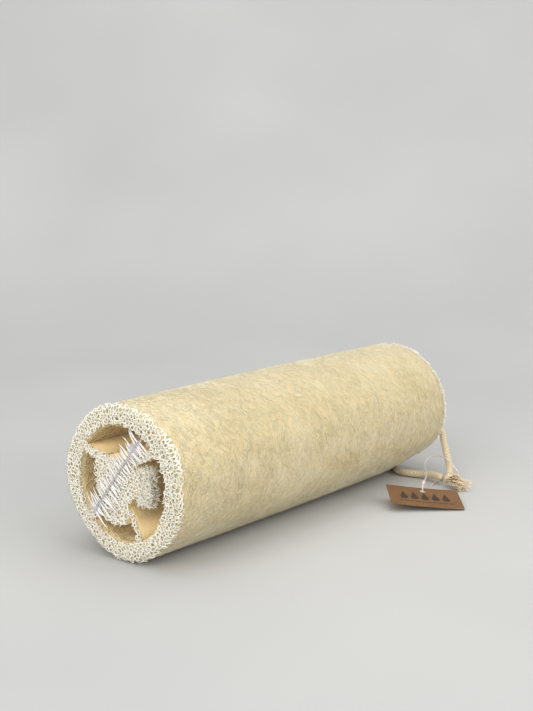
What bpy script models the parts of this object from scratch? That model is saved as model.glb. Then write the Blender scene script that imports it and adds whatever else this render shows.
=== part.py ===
"""Loofah back scrubber in shrink film, with a cord hanging loop and a tag on a nylon loop pin.

The loofah lies along X on the floor (z = 0): its sealed end is at -X and its corded end at +X.
Across the loofah, "right" and "up" are measured from its axis, looking along +X: right is -Y.
"""

import math

import bmesh
import bpy
from mathutils import Matrix, Vector

MM = 0.001

# Fit between pieces that touch
GAP = 0.3 * MM
CORE_GAP = 0.48 * MM           # round the core, where the webs meet it
WEB_GAP = 0.39 * MM            # between a web's end and the faceted wall
CUT_PAST = 5.0 * MM            # how far a cutter runs past what it cuts

# Loofah body
LENGTH = 254.0 * MM            # over the film
BODY_RADIUS = 41.1 * MM        # at the ends
BARREL = 0.9 * MM              # extra radius halfway along
WALL = 9.9 * MM                # fibre wall, at the ends
FLAT_DEPTH = 1.0 * MM          # how far the underside is pressed flat
FAR_LIFT = 5.6 * MM            # the underside rises off the floor at the corded end
LIFT_LENGTH = 42.0 * MM
NEAR_ROUNDING = 2.4 * MM
FAR_ROUNDING = 1.0 * MM
AROUND = 56                    # facets round the body
BODY_STEPS = 14                # lengthwise facets between the rounded edges
EDGE_FACET = 0.35              # share of the near rounding taken by its outer facet

# Lumps of the gourd: (angle from the right in degrees, height, half-width in degrees)
LUMPS = (
    (25.0, 2.7 * MM, 26.0),
    (180.0, 1.6 * MM, 22.0),
    (228.0, -1.2 * MM, 18.0),
    (312.0, -1.2 * MM, 18.0),
)
LUMP_FADE = 0.7                # share of a lump lost by the corded end

# Core column: (right, up) points of its outline
CORE_OUTLINE = (
    (12.0 * MM, 8.0 * MM),
    (4.0 * MM, 12.5 * MM),
    (-8.0 * MM, 13.0 * MM),
    (-18.0 * MM, 11.5 * MM),
    (-18.0 * MM, -4.0 * MM),
    (-14.0 * MM, -14.0 * MM),
    (-10.0 * MM, -21.5 * MM),
    (3.0 * MM, -21.0 * MM),
    (5.0 * MM, -10.0 * MM),
    (11.5 * MM, -3.0 * MM),
)
CORE_CENTRE = (-3.0 * MM, -4.0 * MM)
CORE_SMOOTHING = 3             # steps between outline points

# Webs: node name, thickness, (right, up) points from inside the core outwards in mm, and the
# angle from the right at which the web meets the wall
WEBS = (
    ("web_upper_left", 4.2 * MM, ((-11.0, 11.5), (-20.0, 13.2)), 153.4),
    ("web_upper_right", 4.6 * MM, ((3.0, 9.5), (14.0, 16.0)), 37.8),
    ("web_lower_right", 3.0 * MM, ((1.0, -9.0), (8.5, -17.0), (11.2, -24.0)), 291.8),
    ("web_lower_left", 5.0 * MM, ((-8.0, -9.5), (-18.0, -17.5)), 222.0),
)
WEB_RUN_IN = 5.0 * MM          # how far a web's outline runs past the cavity before it is cut

# Shrink film
FILM = 0.3 * MM                # drawn thicker than the real film, so that it is a solid
FILM_EDGE = 0.4                # how much of the wall's edge rounding the film follows
SEAM_WIDTH = 1.4 * MM
SEAM_HEIGHT = 0.8 * MM
SEAM_ENDS = ((-19.0, -18.0), (16.5, 26.5))    # (right, up) in mm

# Cord
CORD = 4.5 * MM
CORD_HOLE_CLEARANCE = 0.8 * MM
HOLE_RUN = 4                   # the hole's cutter, in cord diameters
CORD_STEP = 1.1                # spacing of a cord solid's points, in cord diameters
# Routes in mm: (from the corded end, along +X; from the axis, along +Y; height over the floor)
CORD_THREADED = (
    (0.3, -1.5, 14.2),
    (-4.5, -1.5, 14.2),
    (-9.1, -2.3, 14.6),
    (-13.4, -3.8, 15.7),
    (-16.9, -6.2, 17.7),
    (-19.2, -9.3, 20.8),
    (-19.2, -12.2, 24.4),
    (-17.2, -14.7, 27.8),
    (-13.5, -16.2, 30.4),
    (-9.2, -16.8, 32.3),
    (-4.5, -17.0, 33.0),
    (0.3, -17.0, 33.0),
)
WEB_CROSSING = 5               # route point where the threaded cord passes the lower right web
CORD_LEG_FRONT = (
    (1.5, -1.5, 14.2),
    (7.4, -1.5, 14.1),
    (12.8, 0.9, 12.9),
    (15.9, 5.4, 11.0),
    (15.9, 10.3, 8.4),
    (12.9, 14.3, 5.9),
    (8.0, 15.8, 3.7),
    (2.7, 14.4, 2.6),
    (-1.8, 9.9, 2.5),
    (-3.8, 4.6, 2.6),
    (-6.3, -0.3, 2.5),
    (-8.2, -5.1, 2.5),
    (-12.1, -9.8, 2.5),
    (-16.3, -13.0, 2.5),
    (-20.6, -17.0, 2.6),
    (-22.7, -22.5, 2.6),
    (-22.7, -27.6, 2.6),
    (-21.3, -33.4, 2.8),
    (-20.7, -38.3, 3.2),
    (-21.1, -44.2, 4.0),
    (-23.2, -48.7, 4.4),
    (-26.2, -53.9, 5.0),
)
CORD_LEG_REAR = (
    (1.7, -17.0, 33.0),
    (6.6, -18.0, 32.5),
    (10.8, -20.7, 31.0),
    (13.0, -24.6, 28.6),
    (12.6, -29.1, 25.8),
    (9.2, -33.4, 22.6),
    (5.9, -36.1, 19.9),
    (3.0, -38.9, 17.0),
    (0.0, -41.8, 13.9),
    (-3.2, -44.9, 10.5),
    (-6.6, -47.9, 8.0),
    (-10.5, -50.8, 6.4),
    (-15.5, -53.5, 6.0),
    (-20.0, -56.0, 5.7),
)
KNOT_PLACE = (-25.6, -60.3, 5.4)
KNOT_RADII = (5.2 * MM, 5.4 * MM, 4.8 * MM)
TAIL_FRONT = ((-30.0, -64.6, 6.2), (-35.5, -69.8, 8.2), (-41.0, -74.2, 9.4))
TAIL_REAR = ((-27.5, -66.3, 4.4), (-30.0, -73.5, 3.6), (-34.5, -81.5, 3.3))
TAIL_ROOT_RADIUS = 1.7 * MM
TAIL_END_RADIUS = 2.4 * MM

# Tag card and the nylon loop pin that holds it
TAG_LENGTH = 44.0 * MM
TAG_WIDTH = 24.0 * MM
TAG_THICKNESS = 0.5 * MM
TAG_CORNER = 1.0 * MM
TAG_HOLE = 3.6 * MM
TAG_HOLE_INSET = 4.0 * MM      # from the card's long edge
TAG_HOLE_PLACE = (-64.0, -63.2, 6.6)
TAG_TURN = -46.2               # degrees from +X to the card's long side
TAG_ROLL = -6.5                # its far short side lies lower
TAG_LEAN = 11.0                # its free long edge lies lower
FILAMENT = 0.9 * MM
FILAMENT_STEP = 2.5            # spacing of the filament solid's points, in filament diameters
PIN_FILAMENT = (
    (-54.6, -58.4, 9.6),
    (-43.0, -52.5, 8.2),
    (-31.0, -45.5, 7.6),
    (-22.5, -39.5, 7.8),
    (-15.5, -34.8, 9.4),
    (-11.2, -34.6, 11.4),
    (-8.4, -37.4, 12.7),
    (-8.2, -41.8, 13.4),
    (-10.2, -47.2, 13.2),
    (-12.4, -52.4, 11.4),
    (-12.2, -57.0, 7.0),
    (-12.0, -58.0, 3.0),
    (-14.4, -54.4, 1.0),
    (-20.0, -48.6, 0.8),
    (-31.0, -50.2, 0.8),
    (-45.0, -56.0, 0.8),
    (-60.0, -62.0, 1.2),
    (-63.6, -63.4, 3.2),
    (-64.0, -63.3, 6.4),
    (-63.2, -62.8, 8.6),
    (-60.6, -61.4, 9.8),
)
LOCK_ENDS = ((-60.3, -61.2, 9.85), (-54.9, -58.6, 9.7))
LOCK_DIAMETER = 2.0 * MM

NEAR_FACE = -LENGTH / 2 + SEAM_HEIGHT + 2 * GAP + FILM
FAR_FACE = LENGTH / 2 - GAP - FILM
FILM_STANDOFF = GAP + FILM
AXIS_Z = FILM_STANDOFF + BODY_RADIUS + BARREL - FLAT_DEPTH
CAVITY_RADIUS = BODY_RADIUS - WALL

# Columns: face right, face up and along the loofah, in world axes
ACROSS = Matrix(((0, 0, -1), (-1, 0, 0), (0, 1, 0)))

PARTS = "loofah_back_scrubber"
CUTTERS = "cutters"


def section_radius(angle, x):
    """Radius of the fibre wall at an angle from the right (radians), at a place along X."""
    share = (x - NEAR_FACE) / (FAR_FACE - NEAR_FACE)
    radius = BODY_RADIUS + BARREL * (1 - (2 * share - 1) ** 2)
    for centre, height, spread in LUMPS:
        away = (math.degrees(angle) - centre + 180) % 360 - 180
        radius += height * (1 - LUMP_FADE * share) * math.exp(-(away / spread) ** 2)
    return radius


def widest(side):
    """Furthest reach of the body to the right (side 1) or to the left (side -1)."""
    stations = [NEAR_FACE + (FAR_FACE - NEAR_FACE) * i / 20 for i in range(21)]
    angles = [2 * math.pi * i / AROUND for i in range(AROUND)]
    return max(side * math.cos(a) * section_radius(a, x) for x in stations for a in angles)


AXIS_Y = (widest(1) - widest(-1)) / 2


def at_corded_end(point):
    """World place of a route point that is measured from the corded end, in mm."""
    return Vector((FAR_FACE + FILM_STANDOFF, AXIS_Y, 0)) + Vector(point) * MM


def across(right, up, x=0.0):
    """World place of a point given across the loofah, from its axis."""
    return Vector((x, AXIS_Y - right, AXIS_Z + up))


def clear_scene():
    """Remove what the file opened with."""
    for old in list(bpy.data.objects):
        bpy.data.objects.remove(old, do_unlink=True)


def collection(name):
    """A collection in the scene."""
    made = bpy.data.collections.new(name)
    bpy.context.scene.collection.children.link(made)
    return made


def finish(name, colour, roughness, metallic=0.0, alpha=1.0):
    """A Principled material."""
    made = bpy.data.materials.new(name)
    made.use_nodes = True
    shader = made.node_tree.nodes["Principled BSDF"]
    shader.inputs["Base Color"].default_value = (*colour, 1.0)
    shader.inputs["Roughness"].default_value = roughness
    shader.inputs["Metallic"].default_value = metallic
    shader.inputs["Alpha"].default_value = alpha
    return made


def place(piece, where, material=None):
    """Put an object in a collection with its material."""
    for old in list(piece.users_collection):
        old.objects.unlink(piece)
    bpy.data.collections[where].objects.link(piece)
    if material:
        piece.data.materials.clear()
        piece.data.materials.append(material)
    if where == CUTTERS:
        piece.hide_render = True
        piece.display_type = "WIRE"
    return piece


def new_mesh_object(name, mesh, where, material=None):
    """An object for a mesh, shaded smooth where it is round."""
    mesh.shade_smooth()
    mesh.set_sharp_from_angle(angle=math.radians(35))
    return place_new(bpy.data.objects.new(name, mesh), where, material)


def place_new(piece, where, material):
    """Link a new object and put it in its collection."""
    bpy.context.scene.collection.objects.link(piece)
    return place(piece, where, material)


def ring(x, outset=0.0, inset=0.0):
    """Points of the body's section at X, moved out from the fibre wall and in at a rounded edge."""
    floor = FILM_STANDOFF - outset
    rise = max(0.0, min(1.0, (x - FAR_FACE + LIFT_LENGTH) / LIFT_LENGTH))
    lift = FAR_LIFT * rise * rise * (3 - 2 * rise)
    points = []
    for i in range(AROUND):
        angle = 2 * math.pi * (i + 0.5) / AROUND
        radius = section_radius(angle, x) + outset - inset
        right = radius * math.cos(angle)
        up = radius * math.sin(angle)
        height = max(AXIS_Z + up, floor)
        height += lift * max(0.0, -math.sin(angle)) ** 2
        points.append(Vector((x, AXIS_Y - right, height)))
    return points


def stations():
    """Places along X of the body's sections, with how far each rounded edge draws them in."""
    facet = EDGE_FACET * NEAR_ROUNDING
    near = [(NEAR_FACE, NEAR_ROUNDING), (NEAR_FACE + facet, facet)]
    near.append((NEAR_FACE + NEAR_ROUNDING, 0.0))
    far = [(FAR_FACE - FAR_ROUNDING, 0.0), (FAR_FACE, FAR_ROUNDING)]
    first = NEAR_FACE + NEAR_ROUNDING
    last = FAR_FACE - FAR_ROUNDING
    reach = last - first
    middle = [(first + reach * i / BODY_STEPS, 0.0) for i in range(1, BODY_STEPS)]
    return near + middle + far


def loft(name, rings, closed_ends):
    """A mesh through rings of points, closed at both ends or left open."""
    work = bmesh.new()
    rows = [[work.verts.new(p) for p in points] for points in rings]
    for near, far in zip(rows, rows[1:]):
        for i in range(len(near)):
            j = (i + 1) % len(near)
            work.faces.new((near[i], near[j], far[j], far[i]))
    if closed_ends:
        work.faces.new(rows[0])
        work.faces.new(rows[-1])
    bmesh.ops.recalc_face_normals(work, faces=work.faces)
    mesh = bpy.data.meshes.new(name)
    work.to_mesh(mesh)
    work.free()
    return mesh


def cut(piece, cutter, operation="DIFFERENCE"):
    """Cut a piece with another object."""
    modifier = piece.modifiers.new(cutter.name, "BOOLEAN")
    modifier.operation = operation
    modifier.object = cutter
    modifier.solver = "EXACT"
    return piece


def rod(name, start, end, radius, where, material=None, sides=24):
    """A cylinder between two places."""
    line = end - start
    bpy.ops.mesh.primitive_cylinder_add(vertices=sides, radius=radius, depth=line.length)
    piece = bpy.context.object
    piece.name = name
    piece.data.name = name
    piece.location = (start + end) / 2
    piece.rotation_euler = line.to_track_quat("Z", "Y").to_euler()
    piece.data.shade_smooth()
    piece.data.set_sharp_from_angle(angle=math.radians(35))
    return place(piece, where, material)


def prism(name, outline, start, end, where, material=None):
    """A flat outline across the loofah, drawn out along X as a mesh."""
    flat = bpy.data.curves.new(name, "CURVE")
    flat.dimensions = "2D"
    flat.fill_mode = "BOTH"
    flat.extrude = (end - start) / 2
    line = flat.splines.new("POLY")
    line.points.add(len(outline) - 1)
    for point, (right, up) in zip(line.points, outline):
        point.co = (right, up, 0, 1)
    line.use_cyclic_u = True
    drawn = bpy.data.objects.new(name + "_outline", flat)
    bpy.context.scene.collection.objects.link(drawn)
    drawn.matrix_world = Matrix.Translation(across(0, 0, (start + end) / 2)) @ ACROSS.to_4x4()
    return as_mesh(drawn, name, where, material)


def as_mesh(drawn, name, where, material):
    """A curve object made a mesh object, with its caps welded."""
    bpy.context.view_layer.update()
    ready = drawn.evaluated_get(bpy.context.evaluated_depsgraph_get())
    mesh = bpy.data.meshes.new_from_object(ready)
    mesh.name = name
    work = bmesh.new()
    work.from_mesh(mesh)
    bmesh.ops.remove_doubles(work, verts=work.verts, dist=0.00001)
    bmesh.ops.recalc_face_normals(work, faces=work.faces)
    work.to_mesh(mesh)
    work.free()
    piece = new_mesh_object(name, mesh, where, material)
    piece.matrix_world = drawn.matrix_world
    bpy.data.objects.remove(drawn)
    return piece


def smooth_line(points, spacing):
    """Points at an even spacing on a smooth curve through the given places."""
    ends = [points[0] * 2 - points[1], *points, points[-1] * 2 - points[-2]]
    fine = []
    for a, b, c, d in zip(ends, ends[1:], ends[2:], ends[3:]):
        for i in range(24):
            t = i / 24
            curve = 2 * b + (c - a) * t + (2 * a - 5 * b + 4 * c - d) * t * t
            fine.append((curve + (3 * b - a - 3 * c + d) * t ** 3) / 2)
    fine.append(points[-1])
    lengths = [0.0]
    for a, b in zip(fine, fine[1:]):
        lengths.append(lengths[-1] + (b - a).length)
    count = max(2, round(lengths[-1] / spacing))
    line = []
    k = 0
    for i in range(count + 1):
        wanted = lengths[-1] * i / count
        while k < len(fine) - 2 and lengths[k + 1] < wanted:
            k += 1
        share = (wanted - lengths[k]) / (lengths[k + 1] - lengths[k])
        line.append(fine[k].lerp(fine[k + 1], min(1.0, share)))
    return line


def tube(name, line, diameter, material, radii=None):
    """A round cord, tail or wire along a line of places."""
    wire = bpy.data.curves.new(name, "CURVE")
    wire.dimensions = "3D"
    wire.bevel_depth = diameter / 2
    wire.bevel_resolution = 2
    wire.use_fill_caps = True
    spline = wire.splines.new("POLY")
    spline.points.add(len(line) - 1)
    for i, (point, spot) in enumerate(zip(spline.points, line)):
        point.co = (*spot, 1)
        if radii:
            point.radius = radii[0] + (radii[1] - radii[0]) * i / (len(line) - 1)
    return place_new(bpy.data.objects.new(name, wire), PARTS, material)


def rounded_path(outline, steps):
    """An outline with points added on a smooth closed curve through its own."""
    count = len(outline)
    path = []
    for i in range(count):
        a, b, c, d = (Vector(outline[(i + k) % count]) for k in (-1, 0, 1, 2))
        for step in range(steps):
            t = step / steps
            curve = 2 * b + (c - a) * t + (2 * a - 5 * b + 4 * c - d) * t * t
            path.append((curve + (3 * b - a - 3 * c + d) * t ** 3) / 2)
    return path


def moved_out(outline, centre, distance):
    """An outline with each point moved away from a centre."""
    middle = Vector(centre)
    return [p + (p - middle).normalized() * distance for p in outline]


def band(line, thickness, angle):
    """The outline of a strip along (right, up) points in mm, run on to the wall at an angle."""
    reach = CAVITY_RADIUS + WEB_RUN_IN
    points = [Vector(p) * MM for p in line]
    points.append(Vector((math.cos(math.radians(angle)), math.sin(math.radians(angle)))) * reach)
    left = []
    right = []
    for i, point in enumerate(points):
        ahead = points[min(i + 1, len(points) - 1)] - points[max(i - 1, 0)]
        side = Vector((-ahead.y, ahead.x)).normalized() * thickness / 2
        left.append(point + side)
        right.append(point - side)
    return left + right[::-1]


def make_body(fibre, web_fibre, core_fibre):
    """The loofah: outer fibre wall, core column and the webs between them."""
    sections = [ring(x, inset=inset) for x, inset in stations()]
    wall = new_mesh_object("loofah_wall", loft("loofah_wall", sections, True), PARTS, fibre)
    cavity_start = across(0, 0, NEAR_FACE - CUT_PAST)
    cavity_end = across(0, 0, FAR_FACE + CUT_PAST)
    cavity = rod("wall_cavity", cavity_start, cavity_end, CAVITY_RADIUS, CUTTERS, sides=AROUND)
    cut(wall, cavity)

    outline = rounded_path(CORE_OUTLINE, CORE_SMOOTHING)
    prism("loofah_core", outline, NEAR_FACE, FAR_FACE, PARTS, core_fibre)
    wide = moved_out(outline, CORE_CENTRE, CORE_GAP)
    core_room = prism("core_room", wide, NEAR_FACE - CUT_PAST, FAR_FACE + CUT_PAST, CUTTERS)
    inside = CAVITY_RADIUS - WEB_GAP
    web_room = rod("web_room", cavity_start, cavity_end, inside, CUTTERS, sides=AROUND)
    webs = {}
    for name, thickness, line, angle in WEBS:
        web = prism(name, band(line, thickness, angle), NEAR_FACE, FAR_FACE, PARTS, web_fibre)
        cut(web, web_room, "INTERSECT")
        cut(web, core_room)
        webs[name] = web
    before = at_corded_end(CORD_THREADED[WEB_CROSSING - 1])
    after = at_corded_end(CORD_THREADED[WEB_CROSSING + 1])
    spot = at_corded_end(CORD_THREADED[WEB_CROSSING])
    way = (after - before).normalized() * HOLE_RUN * CORD
    hole_radius = CORD / 2 + CORD_HOLE_CLEARANCE
    hole = rod("cord_hole", spot - way / 2, spot + way / 2, hole_radius, CUTTERS)
    cut(webs["web_lower_right"], hole)


def make_film(film):
    """The shrink film: sleeve, near end with its seal seam, and the lip over the corded end."""
    over = GAP + FILM
    near_inset = FILM_EDGE * NEAR_ROUNDING
    far_inset = FILM_EDGE * FAR_ROUNDING
    rings = [ring(x, outset=over, inset=FILM_EDGE * inset) for x, inset in stations()]
    sleeve = new_mesh_object("film_sleeve", loft("film_sleeve", rings, False), PARTS, film)
    thick = sleeve.modifiers.new("film_thickness", "SOLIDIFY")
    thick.thickness = FILM
    thick.offset = -1.0
    thick.use_even_offset = True

    end = NEAR_FACE - GAP
    disc = [ring(end - FILM, outset=over, inset=near_inset)]
    disc.append(ring(end, outset=over, inset=near_inset))
    new_mesh_object("film_near_end", loft("film_near_end", disc, True), PARTS, film)

    x = end - FILM - GAP - SEAM_HEIGHT / 2
    low, high = (across(right * MM, up * MM, x) for right, up in SEAM_ENDS)
    bpy.ops.mesh.primitive_cube_add(size=1.0)
    seam = bpy.context.object
    seam.name = "film_end_seam"
    seam.data.name = "film_end_seam"
    for corner in seam.data.vertices:
        size = Vector((SEAM_HEIGHT, SEAM_WIDTH, (high - low).length))
        corner.co = corner.co * size
    seam.location = (low + high) / 2
    seam.rotation_euler = (high - low).to_track_quat("Z", "Y").to_euler()
    place(seam, PARTS, film)

    start = FAR_FACE + GAP
    lip_rings = [ring(start, outset=over, inset=far_inset)]
    lip_rings.append(ring(start + FILM, outset=over, inset=far_inset))
    lip = new_mesh_object("film_far_lip", loft("film_far_lip", lip_rings, True), PARTS, film)
    lip_hole_start = across(0, 0, start - CORD)
    lip_hole_end = across(0, 0, start + CORD)
    mouth = CAVITY_RADIUS + GAP
    cut(lip, rod("lip_mouth", lip_hole_start, lip_hole_end, mouth, CUTTERS, sides=AROUND))


def make_cord(cotton):
    """The hanging cord: threaded stretch, two legs, knot and frayed tails."""
    routes = (
        ("cord_threaded", CORD_THREADED),
        ("cord_leg_front", CORD_LEG_FRONT),
        ("cord_leg_rear", CORD_LEG_REAR),
    )
    for name, route in routes:
        line = smooth_line([at_corded_end(p) for p in route], CORD_STEP * CORD)
        tube(name, line, CORD, cotton)
    bpy.ops.mesh.primitive_uv_sphere_add(segments=20, ring_count=12, radius=1.0)
    knot = bpy.context.object
    knot.name = "cord_knot"
    knot.data.name = "cord_knot"
    for corner in knot.data.vertices:
        corner.co = corner.co * Vector(KNOT_RADII)
    knot.location = at_corded_end(KNOT_PLACE)
    knot.data.shade_smooth()
    place(knot, PARTS, cotton)
    spread = (TAIL_ROOT_RADIUS / TAIL_END_RADIUS, 1.0)
    for name, route in (("frayed_tail_front", TAIL_FRONT), ("frayed_tail_rear", TAIL_REAR)):
        line = smooth_line([at_corded_end(p) for p in route], CORD_STEP * CORD)
        tube(name, line, 2 * TAIL_END_RADIUS, cotton, radii=spread)


def make_tag(card_finish, nylon):
    """The tag card, hinged on the loop pin, and the pin's filament and lock."""
    bpy.ops.mesh.primitive_cube_add(size=1.0)
    card = bpy.context.object
    card.name = "tag_card"
    card.data.name = "tag_card"
    for corner in card.data.vertices:
        corner.co = corner.co * Vector((TAG_LENGTH, TAG_WIDTH, TAG_THICKNESS))
        corner.co.y += TAG_HOLE_INSET - TAG_WIDTH / 2
    turn = Matrix.Rotation(math.radians(TAG_TURN), 4, "Z")
    roll = Matrix.Rotation(math.radians(-TAG_ROLL), 4, "Y")
    lean = Matrix.Rotation(math.radians(TAG_LEAN), 4, "X")
    card.matrix_world = Matrix.Translation(at_corded_end(TAG_HOLE_PLACE)) @ turn @ roll @ lean
    corners = card.modifiers.new("round_corners", "BEVEL")
    corners.width = TAG_CORNER
    corners.segments = 2
    corners.limit_method = "WEIGHT"
    weights = card.data.attributes.new("bevel_weight_edge", "FLOAT", "EDGE")
    for edge in card.data.edges:
        low, high = (card.data.vertices[v].co for v in edge.vertices)
        upright = abs(low.z - high.z) > TAG_THICKNESS / 2
        weights.data[edge.index].value = 1.0 if upright else 0.0
    place(card, PARTS, card_finish)
    normal = card.matrix_world.to_3x3() @ Vector((0, 0, 1))
    hole = at_corded_end(TAG_HOLE_PLACE)
    reach = normal.normalized() * TAG_HOLE
    cut(card, rod("tag_hole", hole - reach, hole + reach, TAG_HOLE / 2, CUTTERS))

    line = smooth_line([at_corded_end(p) for p in PIN_FILAMENT], FILAMENT_STEP * FILAMENT)
    tube("pin_filament", line, FILAMENT, nylon)
    start, end = (at_corded_end(p) for p in LOCK_ENDS)
    rod("pin_lock", start, end, LOCK_DIAMETER / 2, PARTS, nylon, sides=12)


def main():
    """Build the scrubber."""
    clear_scene()
    collection(PARTS)
    collection(CUTTERS)
    fibre = finish("loofah_fibre", (0.78, 0.68, 0.45), 0.9)
    web_fibre = finish("loofah_web", (0.85, 0.78, 0.58), 0.9)
    core_fibre = finish("loofah_core", (0.80, 0.68, 0.45), 0.9)
    film = finish("shrink_film", (0.92, 0.92, 0.94), 0.12, alpha=0.25)
    cotton = finish("cotton_cord", (0.82, 0.72, 0.52), 0.9)
    card_finish = finish("kraft_card", (0.45, 0.25, 0.07), 0.7)
    nylon = finish("clear_nylon", (0.93, 0.93, 0.92), 0.3, alpha=0.6)
    make_body(fibre, web_fibre, core_fibre)
    make_film(film)
    make_cord(cotton)
    make_tag(card_finish, nylon)


main()
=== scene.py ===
"""Loofah back scrubber in shrink film, with its braided hanging cord and kraft tag.

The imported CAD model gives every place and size. The classes below dress it: the fibre mat round the
body, the cut end faces, the fibre inside the chambers, the shrink film, the cord with its knot and
frayed ends, the tag card and the nylon loop pin that holds it.
"""

import logging
import math
from dataclasses import dataclass, field
from enum import Enum

import bpy
import bmesh
import numpy as np
from mathutils import Matrix, Vector
from mathutils.bvhtree import BVHTree
from mathutils.geometry import delaunay_2d_cdt


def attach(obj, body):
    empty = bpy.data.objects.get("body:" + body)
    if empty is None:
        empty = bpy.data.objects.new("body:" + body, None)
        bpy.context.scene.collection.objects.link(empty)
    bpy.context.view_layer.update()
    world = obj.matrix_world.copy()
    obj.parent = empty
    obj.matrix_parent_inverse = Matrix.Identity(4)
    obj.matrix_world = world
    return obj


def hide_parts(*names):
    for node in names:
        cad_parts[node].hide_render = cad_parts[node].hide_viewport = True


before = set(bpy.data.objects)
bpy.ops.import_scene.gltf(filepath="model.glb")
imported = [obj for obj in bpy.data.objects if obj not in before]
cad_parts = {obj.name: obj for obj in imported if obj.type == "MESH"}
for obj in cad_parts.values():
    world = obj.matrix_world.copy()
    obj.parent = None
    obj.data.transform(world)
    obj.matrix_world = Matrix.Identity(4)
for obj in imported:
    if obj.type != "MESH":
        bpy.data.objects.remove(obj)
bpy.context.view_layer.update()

LOG = logging.getLogger("scrubber")
MM = 0.001
AXIS_Y = -0.000127
AXIS_Z = 0.0416
NEAR_FACE = -0.1253
FAR_FACE = 0.1264
CORDED_END = 0.127
CAVITY_RADIUS = 0.0312
TURN = 2 * math.pi

Colour = tuple[float, float, float, float]
Point = tuple[float, float, float]


class End(Enum):
    """Which end of the loofah."""

    NEAR = 1
    FAR = -1


class Body(Enum):
    """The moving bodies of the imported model."""

    LOOFAH = "loofah"
    TAG = "tag"


# Materials


def display(red: int, green: int, blue: int) -> Colour:
    """Linear colour for display values.

    Args:
        red: Red, 0 to 255.
        green: Green, 0 to 255.
        blue: Blue, 0 to 255.

    Returns:
        The linear colour with full alpha.
    """
    parts = [value / 255 for value in (red, green, blue)]
    return (*(p / 12.92 if p <= 0.04045 else ((p + 0.055) / 1.055) ** 2.4 for p in parts), 1.0)


class NodeSheet:
    """A node tree with short ways to add nodes, join them and do sums."""

    def __init__(self, tree: bpy.types.NodeTree) -> None:
        """Keep the tree.

        Args:
            tree: The tree to add to.
        """
        self.tree = tree

    def add(self, kind: str, **settings: object) -> bpy.types.Node:
        """Add a node.

        Args:
            kind: The node's type name.
            **settings: Attributes to set on the node.

        Returns:
            The new node.
        """
        node = self.tree.nodes.new(kind)
        for key, value in settings.items():
            setattr(node, key, value)
        return node

    def put(self, socket: bpy.types.NodeSocket, value: object) -> None:
        """Set a socket's own value, or link another socket to it.

        Args:
            socket: The socket to feed.
            value: A number, a colour or an output socket.
        """
        if isinstance(value, bpy.types.NodeSocket):
            self.tree.links.new(value, socket)
        else:
            socket.default_value = value

    def sum(self, operation: str, *values: object) -> bpy.types.NodeSocket:
        """Do one sum with a Math node.

        Args:
            operation: The Math node's operation.
            *values: Numbers or output sockets.

        Returns:
            The result's socket.
        """
        node = self.add("ShaderNodeMath", operation=operation)
        for socket, value in zip(node.inputs, values):
            self.put(socket, value)
        return node.outputs[0]

    def mix(self, share: object, low: object, high: object) -> bpy.types.NodeSocket:
        """Mix two colours.

        Args:
            share: How much of the second colour.
            low: The first colour.
            high: The second colour.

        Returns:
            The mixed colour's socket.
        """
        node = self.add("ShaderNodeMix", data_type="RGBA")
        self.put(node.inputs[0], share)
        self.put(node.inputs[6], low)
        self.put(node.inputs[7], high)
        return node.outputs[2]

    def emboss(
        self, shader: bpy.types.Node, height: bpy.types.NodeSocket, strength: float, depth: float
    ) -> None:
        """Raise a height in a shader's surface.

        Args:
            shader: The shader.
            height: The height's socket.
            strength: The bump's strength.
            depth: The bump's depth, in metres.
        """
        raised = self.add("ShaderNodeBump")
        raised.inputs["Strength"].default_value = strength
        raised.inputs["Distance"].default_value = depth
        self.put(raised.inputs["Height"], height)
        self.put(shader.inputs["Normal"], raised.outputs[0])


def new_material(name: str) -> tuple[bpy.types.Material, NodeSheet, bpy.types.Node]:
    """Make an empty Principled material.

    Args:
        name: The material's name.

    Returns:
        The material, its node sheet and its Principled shader.
    """
    material = bpy.data.materials.new(name)
    material.use_nodes = True
    return material, NodeSheet(material.node_tree), material.node_tree.nodes["Principled BSDF"]


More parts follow.
